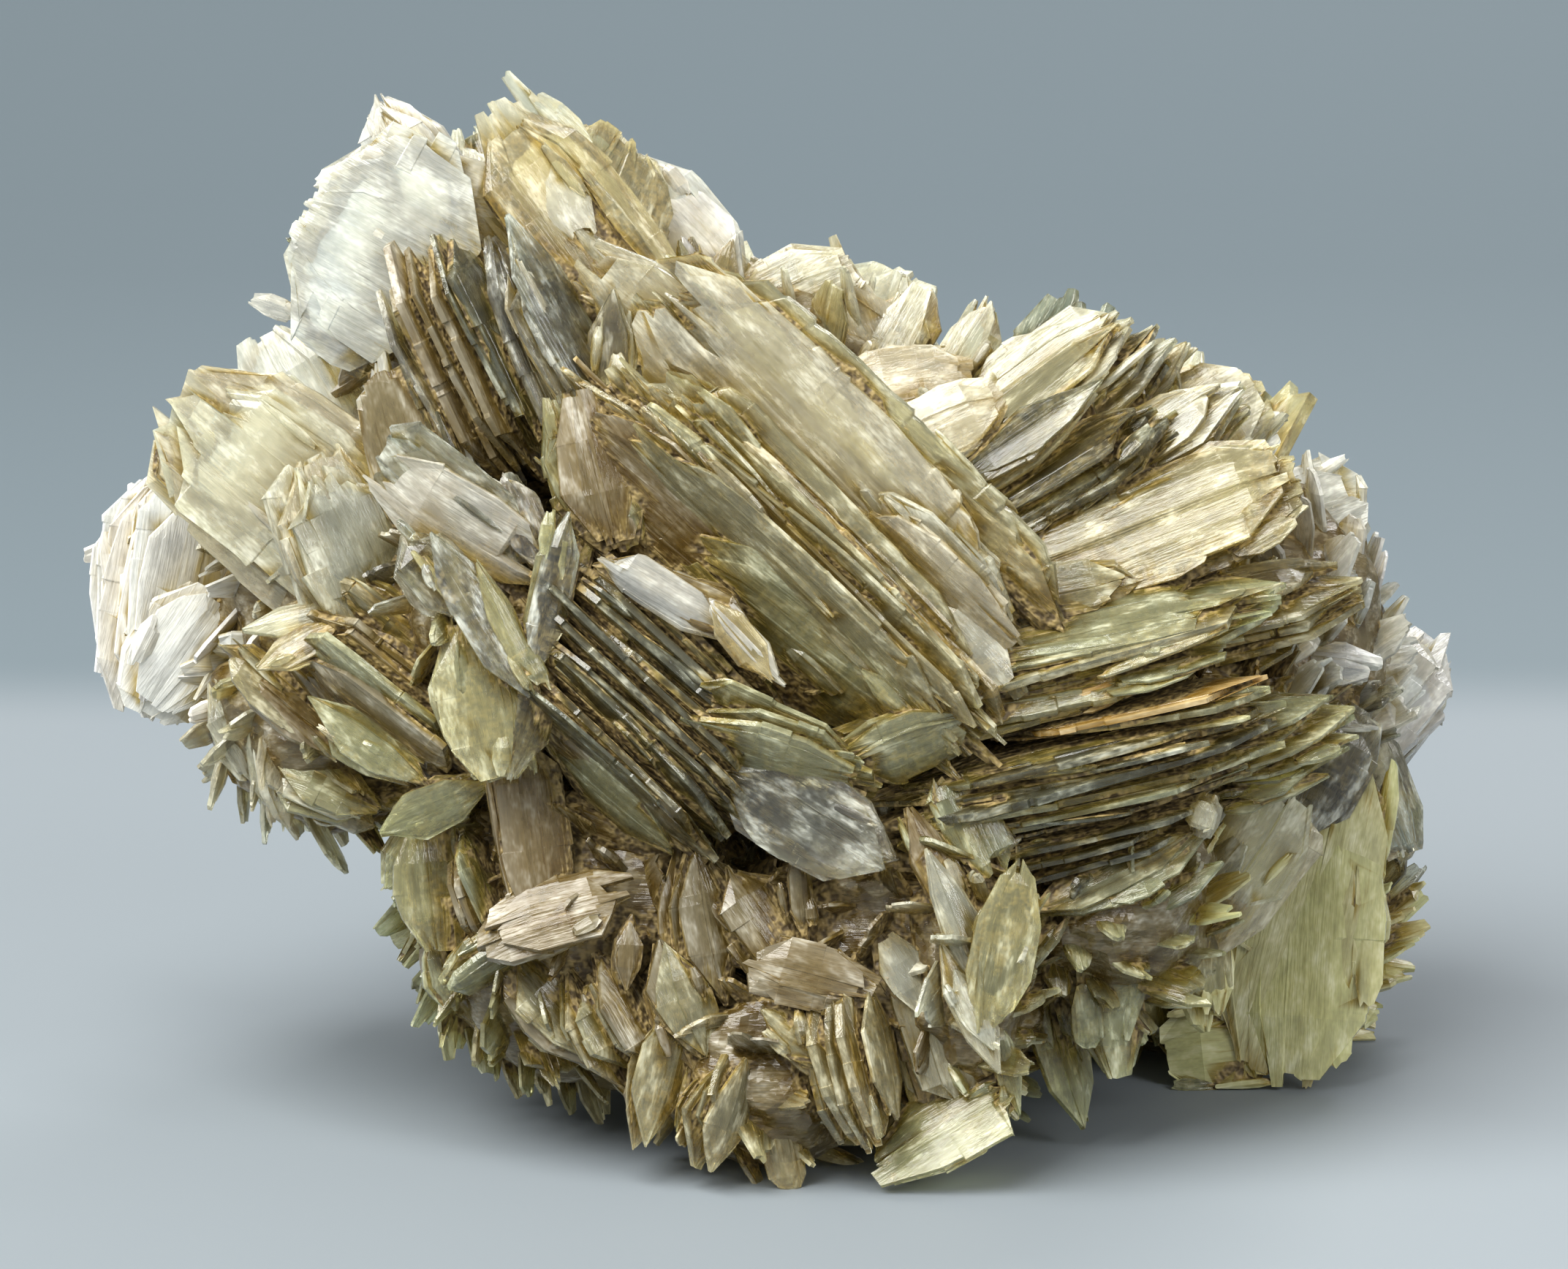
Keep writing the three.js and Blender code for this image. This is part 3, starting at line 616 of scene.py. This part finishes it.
def lamina(size, form_name, chance, coarser=1.0):
    """One lamina in millimetres: its points, its faces and how near each point is to the rim."""
    length, width, thickness = size
    form = FORMS[form_name]
    side_rough, end_rough, flat, fall = form[3:]
    along = breaks_of(length, BREAK_ALONG * coarser, chance)
    across = breaks_of(width, BREAK_ACROSS * coarser, chance)
    columns = grid_places(length, COLUMN_STEP * coarser, COLUMNS, along)
    rows = grid_places(width, ROW_STEP * coarser, ROWS, across)
    high, low = (
        half_width(columns, width, form, chance) * (1 + side_rough * broken(columns, along, chance))
        for _ in range(2)
    )
    front, back = (end_rough * broken(rows, across, chance) for _ in range(2))
    ridges = np.array([either(RIDGE, chance) for _ in rows]) * thickness

    # Every point's share of the way to an end and to a side, from -1 to 1.
    endward, sideward = np.meshgrid(columns, rows, indexing="ij")
    reach = np.where(endward > 0, front[None, :], back[None, :])
    x = (endward + np.sign(endward) * np.abs(endward) ** END_POWER * reach) * length / 2
    y = np.where(sideward > 0, high[:, None], low[:, None]) * sideward
    edge = np.maximum(np.abs(sideward), np.abs(endward) ** SLOPE_POWER)
    thick = 1 - fall * ((edge - flat) / (1 - flat)).clip(0)
    lift = either(BOW, chance) * length * endward**2 + ridges[None, :]
    sides = [np.stack([x, y, lift + side * thickness / 2 * thick], -1) for side in (1, -1)]
    points = np.concatenate([side.reshape(-1, 3) for side in sides])
    return points, grid_faces(len(columns), len(rows)), np.tile(edge.ravel() ** RIM_POWER, 2)


def grid_faces(columns, rows):
    """Faces of two grids of points, one over the other, that are joined all round their rims."""
    count = columns * rows
    cell = (np.arange(columns - 1)[:, None] * rows + np.arange(rows - 1)[None, :]).ravel()
    upper = np.stack([cell, cell + rows, cell + rows + 1, cell + 1], -1)
    under = count + np.stack([cell, cell + 1, cell + rows + 1, cell + rows], -1)
    rim = [i * rows for i in range(columns)]
    rim += [(columns - 1) * rows + j for j in range(1, rows)]
    rim += [i * rows + rows - 1 for i in range(columns - 2, -1, -1)]
    rim += [j for j in range(rows - 2, 0, -1)]
    first = np.array(rim)
    second = np.roll(first, -1)
    band = np.stack([second, first, first + count, second + count], -1)
    return np.concatenate([upper, under, band])


def store(mesh, name, kind, domain, key, values):
    """Stores values on a mesh under a name that the material reads."""
    layer = mesh.attributes.new(name, kind, domain)
    layer.data.foreach_set(key, values)


def crystal_object(name, shape, place, tint, seed):
    """A mesh object of one lamina, with its own grain coordinates and colour on its faces."""
    points, faces, rim_share = shape
    mesh = bpy.data.meshes.new(name)
    mesh.from_pydata(points.tolist(), [], faces.tolist())
    corner = np.zeros(len(mesh.loops), dtype=np.int32)
    mesh.loops.foreach_get("vertex_index", corner)
    store(mesh, "grain", "FLOAT_VECTOR", "CORNER", "vector", (points[corner] + seed).ravel())
    store(mesh, "rim", "FLOAT", "CORNER", "value", rim_share[corner])
    store(mesh, "tint", "FLOAT_COLOR", "FACE", "color", np.tile(tint, len(mesh.polygons)))
    mesh.transform(place)
    return bpy.data.objects.new(name, mesh)


def turned(twist, tip, rock):
    """A turn by these degrees about the face's normal, the width and the length."""
    return (
        Matrix.Rotation(math.radians(twist), 4, "Z")
        @ Matrix.Rotation(math.radians(tip), 4, "Y")
        @ Matrix.Rotation(math.radians(rock), 4, "X")
    )


def seed_from(chance):
    """Where in the streaks' pattern a lamina starts, so that no two look alike."""
    return np.array([SEED_REACH * chance() for _ in range(3)])


def levels_of(depth, coarser, chance):
    """Heights and thicknesses of a book's laminae: most run into the next, some stand off it."""
    levels = []
    low = -depth / 2
    while low < depth / 2 - LAMINA_THICKNESS[0]:
        thickness = min(between(LAMINA_THICKNESS, chance) * coarser, depth / 2 - low)
        levels.append((low + thickness / 2, thickness))
        low += thickness * between(OPEN_STEP if chance() < OPEN_CHANCE else SHUT_STEP, chance)
    return levels


def laminae_of(book):
    """The laminae of one book as objects."""
    at, aim, lean, roll, size, form = book
    chance = chance_from(at)
    place = book_place(at, aim, lean, roll)
    coarser = COARSER if at[2] < COARSE_FROM else 1.0
    objects = []
    for height, thickness in levels_of(size[2], coarser, chance):
        shares = [
            between(SHORT_RANGE if chance() < SHORT_CHANCE else WHOLE_RANGE, chance)
            for _ in range(2)
        ]
        outer = 1 - OUTER_FALL * (2 * height / size[2]) ** 2
        dims = (size[0] * shares[0] * outer, size[1] * shares[1] * outer, thickness)
        shift = (either(size[0] * SLIDE, chance), either(size[1] * SLIDE, chance), height)
        turn = turned(either(TWIST, chance), either(TIP, chance), either(ROCK, chance))
        shape = lamina(dims, form, chance, coarser)
        spot = place @ Matrix.Translation(shift) @ turn
        objects.append(crystal_object("lamina", shape, spot, tint_at(at, chance), seed_from(chance)))
    return objects


def chips_of(book):
    """The flakes and splinters that lie on and beside one book."""
    at, aim, lean, roll, size, _ = book
    chance = chance_from((at[0] + CHIP_SEED_STEP, at[1] + CHIP_SEED_STEP, at[2]))
    place = book_place(at, aim, lean, roll)
    objects = []
    for name, (per_area, lengths, widths, thicknesses, skew) in CHIPS.items():
        for _ in range(round(size[0] * size[1] * per_area)):
            length = size[0] * between(lengths, chance)
            width = max(length * between(widths, chance), CHIP_LEAST_WIDTH)
            dims = (length, width, between(thicknesses, chance))
            spot = (
                either((size[0] - length) / 2, chance),
                either(size[1] * CHIP_SIDE, chance),
                either(size[2] * CHIP_SIDE, chance),
            )
            turn = turned(either(skew, chance), either(CHIP_TIP, chance), either(CHIP_TIP, chance))
            shape = lamina(dims, "plate", chance)
            there = place @ Matrix.Translation(spot) @ turn
            objects.append(crystal_object(name, shape, there, tint_at(at, chance), seed_from(chance)))
    return objects


def druse_of(at, radii):
    """Small blades all over a lobe, which stand out of it and lean to one side."""
    chance = chance_from(at)
    area = 4 * math.pi * (radii[0] * radii[1] * radii[2]) ** (2 / 3)
    objects = []
    for out in spiral(round(area * DRUSE_PER_AREA)):
        spot = tuple(a + r * o * DRUSE_SUNK for a, r, o in zip(at, radii, out))
        aim = math.degrees(math.atan2(out[1], out[0])) + DRUSE_SWIRL + either(DRUSE_SPREAD, chance)
        lean = math.degrees(math.asin(out[2])) * DRUSE_LEAN
        place = book_place(spot, aim, lean, between(DRUSE_ROLL, chance))
        length = between(DRUSE_LENGTH, chance)
        dims = (length, length * between(DRUSE_WIDTH, chance), between(DRUSE_THICKNESS, chance))
        shape = lamina(dims, "plate", chance)
        objects.append(crystal_object("druse", shape, place, tint_at(spot, chance), seed_from(chance)))
    return objects


def lobe_object(at, radii):
    """A rough lobe of clay and massive gypsum."""
    bpy.ops.mesh.primitive_ico_sphere_add(subdivisions=LOBE_DETAIL, radius=1.0)
    ball = bpy.context.object
    points = np.zeros(len(ball.data.vertices) * 3)
    ball.data.vertices.foreach_get("co", points)
    points = points.reshape(-1, 3) * np.array(radii) * LOBE_SHRINK
    lumps = []
    for point in points:
        spot = (Vector(point) + Vector(at)) / LOBE_LUMP_SIZE
        lumps.append(noise.turbulence(spot, LOBE_OCTAVES, False))
    scale = 1 + np.array(lumps) * LOBE_LUMP / min(radii)
    faces = np.zeros(len(ball.data.loops), dtype=np.int32)
    ball.data.loops.foreach_get("vertex_index", faces)
    bpy.data.objects.remove(ball)
    place = TO_SPECIMEN @ Matrix.Translation(seen(at))
    shape = (points * scale[:, None], faces.reshape(-1, 3), np.zeros(len(points)))
    return crystal_object("lobe", shape, place, TINTS["brown_and_shade"], 0.0)


def drop_loose(mesh):
    """Deletes the splinters that touch nothing else."""
    shape = bmesh.new()
    shape.from_mesh(mesh)
    shape.verts.ensure_lookup_table()
    reached = np.zeros(len(shape.verts), dtype=bool)
    loose = []
    for first in shape.verts:
        if reached[first.index]:
            continue
        reached[first.index] = True
        shell = [first]
        for vertex in shell:
            for edge in vertex.link_edges:
                other = edge.other_vert(vertex)
                if not reached[other.index]:
                    reached[other.index] = True
                    shell.append(other)
        if len(shell) < LEAST_SHELL:
            loose += shell
    bmesh.ops.delete(shape, geom=loose, context="VERTS")
    shape.to_mesh(mesh)
    shape.free()


def add_boolean(base, operation, **operands):
    """A step that joins its operands to the base or cuts them off it."""
    step = base.modifiers.new(operation, "BOOLEAN")
    step.operation = operation
    step.solver = "MANIFOLD"
    for key, value in operands.items():
        setattr(step, key, value)


def join(name, objects, floor):
    """One closed mesh from all the objects, cut off at the floor."""
    operands = bpy.data.collections.new(name)
    bpy.context.scene.collection.children.link(operands)
    base = objects[0]
    link(base)
    for other in objects[1:]:
        operands.objects.link(other)
    add_boolean(base, "UNION", operand_type="COLLECTION", collection=operands)
    add_boolean(base, "DIFFERENCE", object=floor)
    depsgraph = bpy.context.evaluated_depsgraph_get()
    mesh = bpy.data.meshes.new_from_object(base.evaluated_get(depsgraph))
    for other in objects:
        bpy.data.objects.remove(other)
    bpy.data.collections.remove(operands)
    drop_loose(mesh)
    mesh.name = name
    piece = bpy.data.objects.new(name, mesh)
    link(piece)
    return piece


def tree_of(pieces):
    """A tree that finds what a ray meets first in any of the pieces."""
    points = []
    faces = []
    start = 0
    for piece in pieces:
        mesh = piece.data
        own = np.zeros(len(mesh.vertices) * 3)
        mesh.vertices.foreach_get("co", own)
        mesh.calc_loop_triangles()
        corners = np.zeros(len(mesh.loop_triangles) * 3, dtype=np.int32)
        mesh.loop_triangles.foreach_get("vertices", corners)
        points.append(own.reshape(-1, 3))
        faces.append(corners.reshape(-1, 3) + start)
        start += len(mesh.vertices)
    all_points = np.concatenate(points).tolist()
    return BVHTree.FromPolygons(all_points, np.concatenate(faces).tolist(), all_triangles=True)


def hollow_rays():
    """Rays to all sides above a surface, more of them straight up than along it."""
    rays = []
    for k in range(HOLLOW_RAYS):
        share = (k + 0.5) / HOLLOW_RAYS
        turn = k * HOLLOW_TURN
        out = math.sqrt(share)
        rays.append(Vector((out * math.cos(turn), out * math.sin(turn), math.sqrt(1 - share))))
    return rays


def mark_hollows(pieces):
    """Marks every point by how shut in it is, from 0 in the open to 1, more or less in patches: it
    lays painted shade and clay into hollows, with patches of dirt.
    """
    tree = tree_of(pieces)
    rays = hollow_rays()
    for piece in pieces:
        mesh = piece.data
        shut = np.zeros(len(mesh.vertices))
        for i, vertex in enumerate(mesh.vertices):
            turn = vertex.normal.to_track_quat("Z", "Y")
            start = vertex.co + vertex.normal * HOLLOW_START
            for ray in rays:
                hit = tree.ray_cast(start, turn @ ray, HOLLOW_REACH)[3]
                if hit is not None:
                    shut[i] += 1 - HOLLOW_FADE * hit / HOLLOW_REACH
        patches = [noise.fractal(v.co / PATCH_SIZE, *PATCH_NOISE) for v in mesh.vertices]
        marks = shut / HOLLOW_RAYS + PATCH_SHARE * np.array(patches)
        store(mesh, "shade_and_dirt", "FLOAT", "POINT", "value", marks)


class Nodes:
    """Short calls that add linked shader nodes to a material."""

    def __init__(self, name):
        self.material = bpy.data.materials.new(name)
        self.material.use_nodes = True
        self.tree = self.material.node_tree
        self.shader = self.tree.nodes["Principled BSDF"]

    def add(self, kind, inputs=None, **settings):
        """A node with these settings, and with these values or links at its sockets."""
        node = self.tree.nodes.new(kind)
        for key, value in settings.items():
            setattr(node, key, value)
        for key, value in (inputs or {}).items():
            self.put(node, key, value)
        return node

    def put(self, node, key, value):
        """Links a socket to another node's, or sets its value."""
        if isinstance(value, bpy.types.NodeSocket):
            self.tree.links.new(value, node.inputs[key])
        else:
            node.inputs[key].default_value = value

    def read(self, name):
        """A node that reads what `store` put on the mesh."""
        return self.add("ShaderNodeAttribute", attribute_name=name)

    def position(self):
        """The place in the scene, in metres."""
        return self.add("ShaderNodeNewGeometry").outputs["Position"]

    def noise(self, vector, scale, detail, roughness):
        """Soft noise from 0 to 1."""
        values = {"Vector": vector, "Scale": scale, "Detail": detail, "Roughness": roughness}
        return self.add("ShaderNodeTexNoise", values).outputs["Fac"]

    def math(self, operation, first, second):
        """The sum, the difference or the product of two values."""
        return self.add("ShaderNodeMath", {0: first, 1: second}, operation=operation).outputs[0]

    def scaled(self, vector, factors):
        """A vector with each of its parts multiplied by its own factor."""
        inputs = {0: vector, 1: factors}
        return self.add("ShaderNodeVectorMath", inputs, operation="MULTIPLY").outputs[0]

    def span(self, value, low, high, to_low=0.0, to_high=1.0):
        """A value that changes smoothly between two others while its input goes from low to high."""
        inputs = {
            "Value": value,
            "From Min": low,
            "From Max": high,
            "To Min": to_low,
            "To Max": to_high,
        }
        node = self.add("ShaderNodeMapRange", inputs, interpolation_type="SMOOTHSTEP")
        return node.outputs["Result"]

    def mix(self, factor, first, second, blend="MIX"):
        """Two colours mixed. The colours' sockets have numbers, because their names aren't unique."""
        inputs = {0: factor, 6: first, 7: second}
        return self.add("ShaderNodeMix", inputs, data_type="RGBA", blend_type=blend).outputs[2]

    def bump(self, height, strength, distance, below=None):
        """Low relief, over the relief below it if there is any."""
        inputs = {"Height": height, "Strength": strength, "Distance": distance}
        if below is not None:
            inputs["Normal"] = below
        return self.add("ShaderNodeBump", inputs).outputs["Normal"]


def soiling_and_shading(make, tint, streaks):
    """How much dirt and painted shade a point gets: clay and painted shade in hollows, dirt along
    streaks, and most of both on dark crystals.
    """
    shade_and_dirt = make.read("shade_and_dirt").outputs["Fac"]
    blue = make.add("ShaderNodeSeparateColor", {"Color": tint.outputs["Color"]}).outputs["Blue"]
    shut = make.math("ADD", shade_and_dirt, make.span(streaks, *SOIL_BY_STREAK))
    return make.math("MULTIPLY", shut, make.span(blue, *SOIL_AND_SHADE_BY_BLUE))


def crystal_colour(make, tint, veil, milk):
    """Each blade's own tint, darker and milkier in soft veils."""
    body = make.mix(FULL, tint.outputs["Color"], make.span(veil, *CLOUD_BY_VEIL), "MULTIPLY")
    return make.mix(milk, body, MILK_COLOUR)


def soiled_and_shaded_colour(make, body, soil_and_shade, clay_and_shade, grit):
    """The crystal's colour under a brown film, and the clay's own where the mark lies thick: real
    stain and clay, and painted shade in the hollows.
    """
    earth = make.mix(make.span(grit, *EARTH_BY_GRIT), CLAY_DARK, CLAY_LIGHT)
    stained_and_shaded = make.mix(make.span(soil_and_shade, *FILM_BY_SOIL_AND_SHADE), body, STAIN_AND_SHADE_COLOUR, "MULTIPLY")
    return make.mix(clay_and_shade, stained_and_shaded, earth)


def clearness(make, tint, milk, clay_and_shade):
    """How much light passes through: less where it is milky, and none through clay or the thickest
    painted shade.
    """
    clean = make.math("SUBTRACT", FULL, clay_and_shade)
    clear = make.math("MULTIPLY", tint.outputs["Alpha"], clean)
    return make.math("MULTIPLY", clear, make.span(milk, *CLEARNESS_BY_MILK))


def relief(make, streaks, grit, clay_and_shade):
    """Fine lines along the blades, and a coarser grain where there is clay."""
    lines = make.bump(streaks, STREAK_RELIEF, STREAK_DEPTH)
    return make.bump(grit, make.math("MULTIPLY", clay_and_shade, GRIT_RELIEF), GRIT_DEPTH, lines)


def gypsum_material():
    """Silky, part-clear gypsum with streaks along each blade, and clay and painted shade where it is
    shut in.
    """
    make = Nodes("gypsum")
    grain = make.read("grain").outputs["Vector"]
    rim = make.read("rim").outputs["Fac"]
    tint = make.read("tint")
    streaks = make.noise(make.scaled(grain, STREAK_SCALE), *STREAK_NOISE)
    veil = make.noise(make.scaled(grain, VEIL_SCALE), *VEIL_NOISE)
    grit = make.noise(make.position(), *GRIT_NOISE)
    milk = make.math("ADD", make.math("MULTIPLY", rim, RIM_MILK), make.span(veil, *MILK_BY_VEIL))
    # The soil and the clay below are dirt and clay, and also painted shade where points are shut in.
    soil_and_shade = soiling_and_shading(make, tint, streaks)
    clay_and_shade = make.span(soil_and_shade, *CLAY_BY_SOIL_AND_SHADE)
    body = crystal_colour(make, tint, veil, milk)
    smooth = make.span(streaks, *ROUGHNESS_BY_STREAK)
    rough = make.math("ADD", smooth, make.math("MULTIPLY", clay_and_shade, CLAY_ROUGHNESS))

    shader = make.shader
    make.put(shader, "Base Color", soiled_and_shaded_colour(make, body, soil_and_shade, clay_and_shade, grit))
    make.put(shader, "Roughness", rough)
    make.put(shader, "Normal", relief(make, streaks, grit, clay_and_shade))
    make.put(shader, "Transmission Weight", clearness(make, tint, milk, clay_and_shade))
    make.put(shader, "IOR", GYPSUM_IOR)
    return make.material


def floor_material():
    """The pale floor, which turns to a greyer backdrop behind the specimen: painted shade where less
    light reaches the sweep.
    """
    make = Nodes("floor")
    place = make.add("ShaderNodeSeparateXYZ", {0: make.position()})
    # The floor darkens behind here as painted shade on the backdrop.
    back = make.span(place.outputs["Y"], FLOOR_END - FLOOR_BLEND, FLOOR_END + FLOOR_BLEND)
    make.put(make.shader, "Base Color", make.mix(back, FLOOR_COLOUR, SHADED_WALL_COLOUR))
    make.put(make.shader, "Roughness", FLOOR_ROUGHNESS)
    return make.material


def add_stage():
    """A pale floor that curves up into a backdrop behind the specimen."""
    profile = [(FLOOR_FRONT, 0.0), (BEND_START, 0.0)]
    for step in range(1, BEND_STEPS + 1):
        turn = math.pi / 2 * step / BEND_STEPS
        profile.append((BEND_START + BEND_RADIUS * math.sin(turn), BEND_RADIUS * (1 - math.cos(turn))))
    profile.append((BEND_START + BEND_RADIUS, WALL_TOP))
    points = [(x, y, z) for y, z in profile for x in (-STAGE_HALF, STAGE_HALF)]
    faces = [(2 * i, 2 * i + 1, 2 * i + 3, 2 * i + 2) for i in range(len(profile) - 1)]
    mesh = bpy.data.meshes.new("floor")
    mesh.from_pydata(points, [], faces)
    mesh.polygons.foreach_set("use_smooth", [True] * len(faces))
    mesh.materials.append(floor_material())
    floor = bpy.data.objects.new("floor", mesh)
    link(floor)


def add_light(name, place, size, watts, colour):
    """A soft panel that faces the middle of the specimen."""
    light = bpy.data.lights.new(name, "AREA")
    light.energy = watts
    light.size = size
    light.color = colour
    lamp = bpy.data.objects.new(name, light)
    lamp.location = place
    lamp.rotation_euler = (LIGHT_TARGET - Vector(place)).to_track_quat("-Z", "Y").to_euler()
    link(lamp)


def add_lights():
    """The panels, the even light of the studio, and colours that are shown as they are."""
    for name, settings in LIGHTS.items():
        add_light(name, *settings)
    world = bpy.data.worlds.new("studio")
    world.use_nodes = True
    background = world.node_tree.nodes["Background"]
    background.inputs["Color"].default_value = WORLD_COLOUR
    background.inputs["Strength"].default_value = WORLD_STRENGTH
    bpy.context.scene.world = world
    bpy.context.scene.view_settings.view_transform = "Standard"


def add_camera():
    """The camera at the photograph's viewing angle, square to the plane that the rows are read on."""
    camera = bpy.data.objects.new("camera", bpy.data.cameras.new("camera"))
    elevation = math.radians(VIEW_ELEVATION)
    near = Vector((0, -math.cos(elevation), math.sin(elevation)))
    centre = TO_SPECIMEN @ Vector((*VIEW_CENTRE, 0.0))
    camera.location = centre + near * VIEW_DISTANCE * MM
    camera.rotation_euler = (-near).to_track_quat("-Z", "Y").to_euler()
    camera.data.sensor_width = SENSOR_WIDTH
    camera.data.lens = SENSOR_WIDTH * VIEW_DISTANCE / PICTURE_WIDTH
    link(camera)
    bpy.context.scene.camera = camera


def floor_block():
    """A block below the floor, which cuts the specimen flat where it rests."""
    side = BLOCK_SIDE
    corners = [(x, y, z) for x in (-side, side) for y in (-side, side) for z in (-side, 0.0)]
    sides = [(0, 1, 3, 2), (4, 6, 7, 5), (0, 4, 5, 1), (2, 3, 7, 6), (0, 2, 6, 4), (1, 5, 7, 3)]
    mesh = bpy.data.meshes.new("floor_block")
    mesh.from_pydata(corners, [], sides)
    block = bpy.data.objects.new("floor_block", mesh)
    link(block)
    return block


def crystals_of(books, lobes):
    """All that a sheaf is joined from: its lobes with their small blades, and its books."""
    objects = []
    for at, radii in lobes:
        objects.append(lobe_object(at, radii))
        objects += druse_of(at, radii)
    for book in books:
        objects += laminae_of(book) + chips_of(book)
    return objects


def build_specimen():
    """The pieces of the cluster: each joins its books to the lobes that they are rooted in."""
    block = floor_block()
    material = gypsum_material()
    pieces = []
    for name, books in SHEAVES.items():
        piece = join(name, crystals_of(books, LOBES[name]), block)
        piece.data.materials.clear()
        piece.data.materials.append(material)
        pieces.append(piece)
    bpy.data.objects.remove(block)
    mark_hollows(pieces)
    for piece in pieces:
        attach(piece, "root")
        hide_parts("crystal_cluster")


REAR = BEHIND + back_books()
SHEAVES = {
    "crest": CREST,
    "centre": CENTRE,
    "right": RIGHT,
    "upper_right": UPPER_RIGHT,
    "left": LEFT,
    "underside": UNDERSIDE,
    "lower_right": LOWER_RIGHT,
    "rear_left": [row for row in REAR if row[0][0] < BACK_CENTRE[0]],
    "rear_right": [row for row in REAR if row[0][0] >= BACK_CENTRE[0]],
}

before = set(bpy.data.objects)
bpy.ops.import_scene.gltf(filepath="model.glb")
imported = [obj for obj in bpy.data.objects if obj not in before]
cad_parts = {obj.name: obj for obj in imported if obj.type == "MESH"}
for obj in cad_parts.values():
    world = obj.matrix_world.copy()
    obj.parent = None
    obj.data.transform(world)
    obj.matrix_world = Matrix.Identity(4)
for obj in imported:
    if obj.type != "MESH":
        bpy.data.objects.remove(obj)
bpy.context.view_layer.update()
add_camera()
add_stage()
add_lights()
build_specimen()
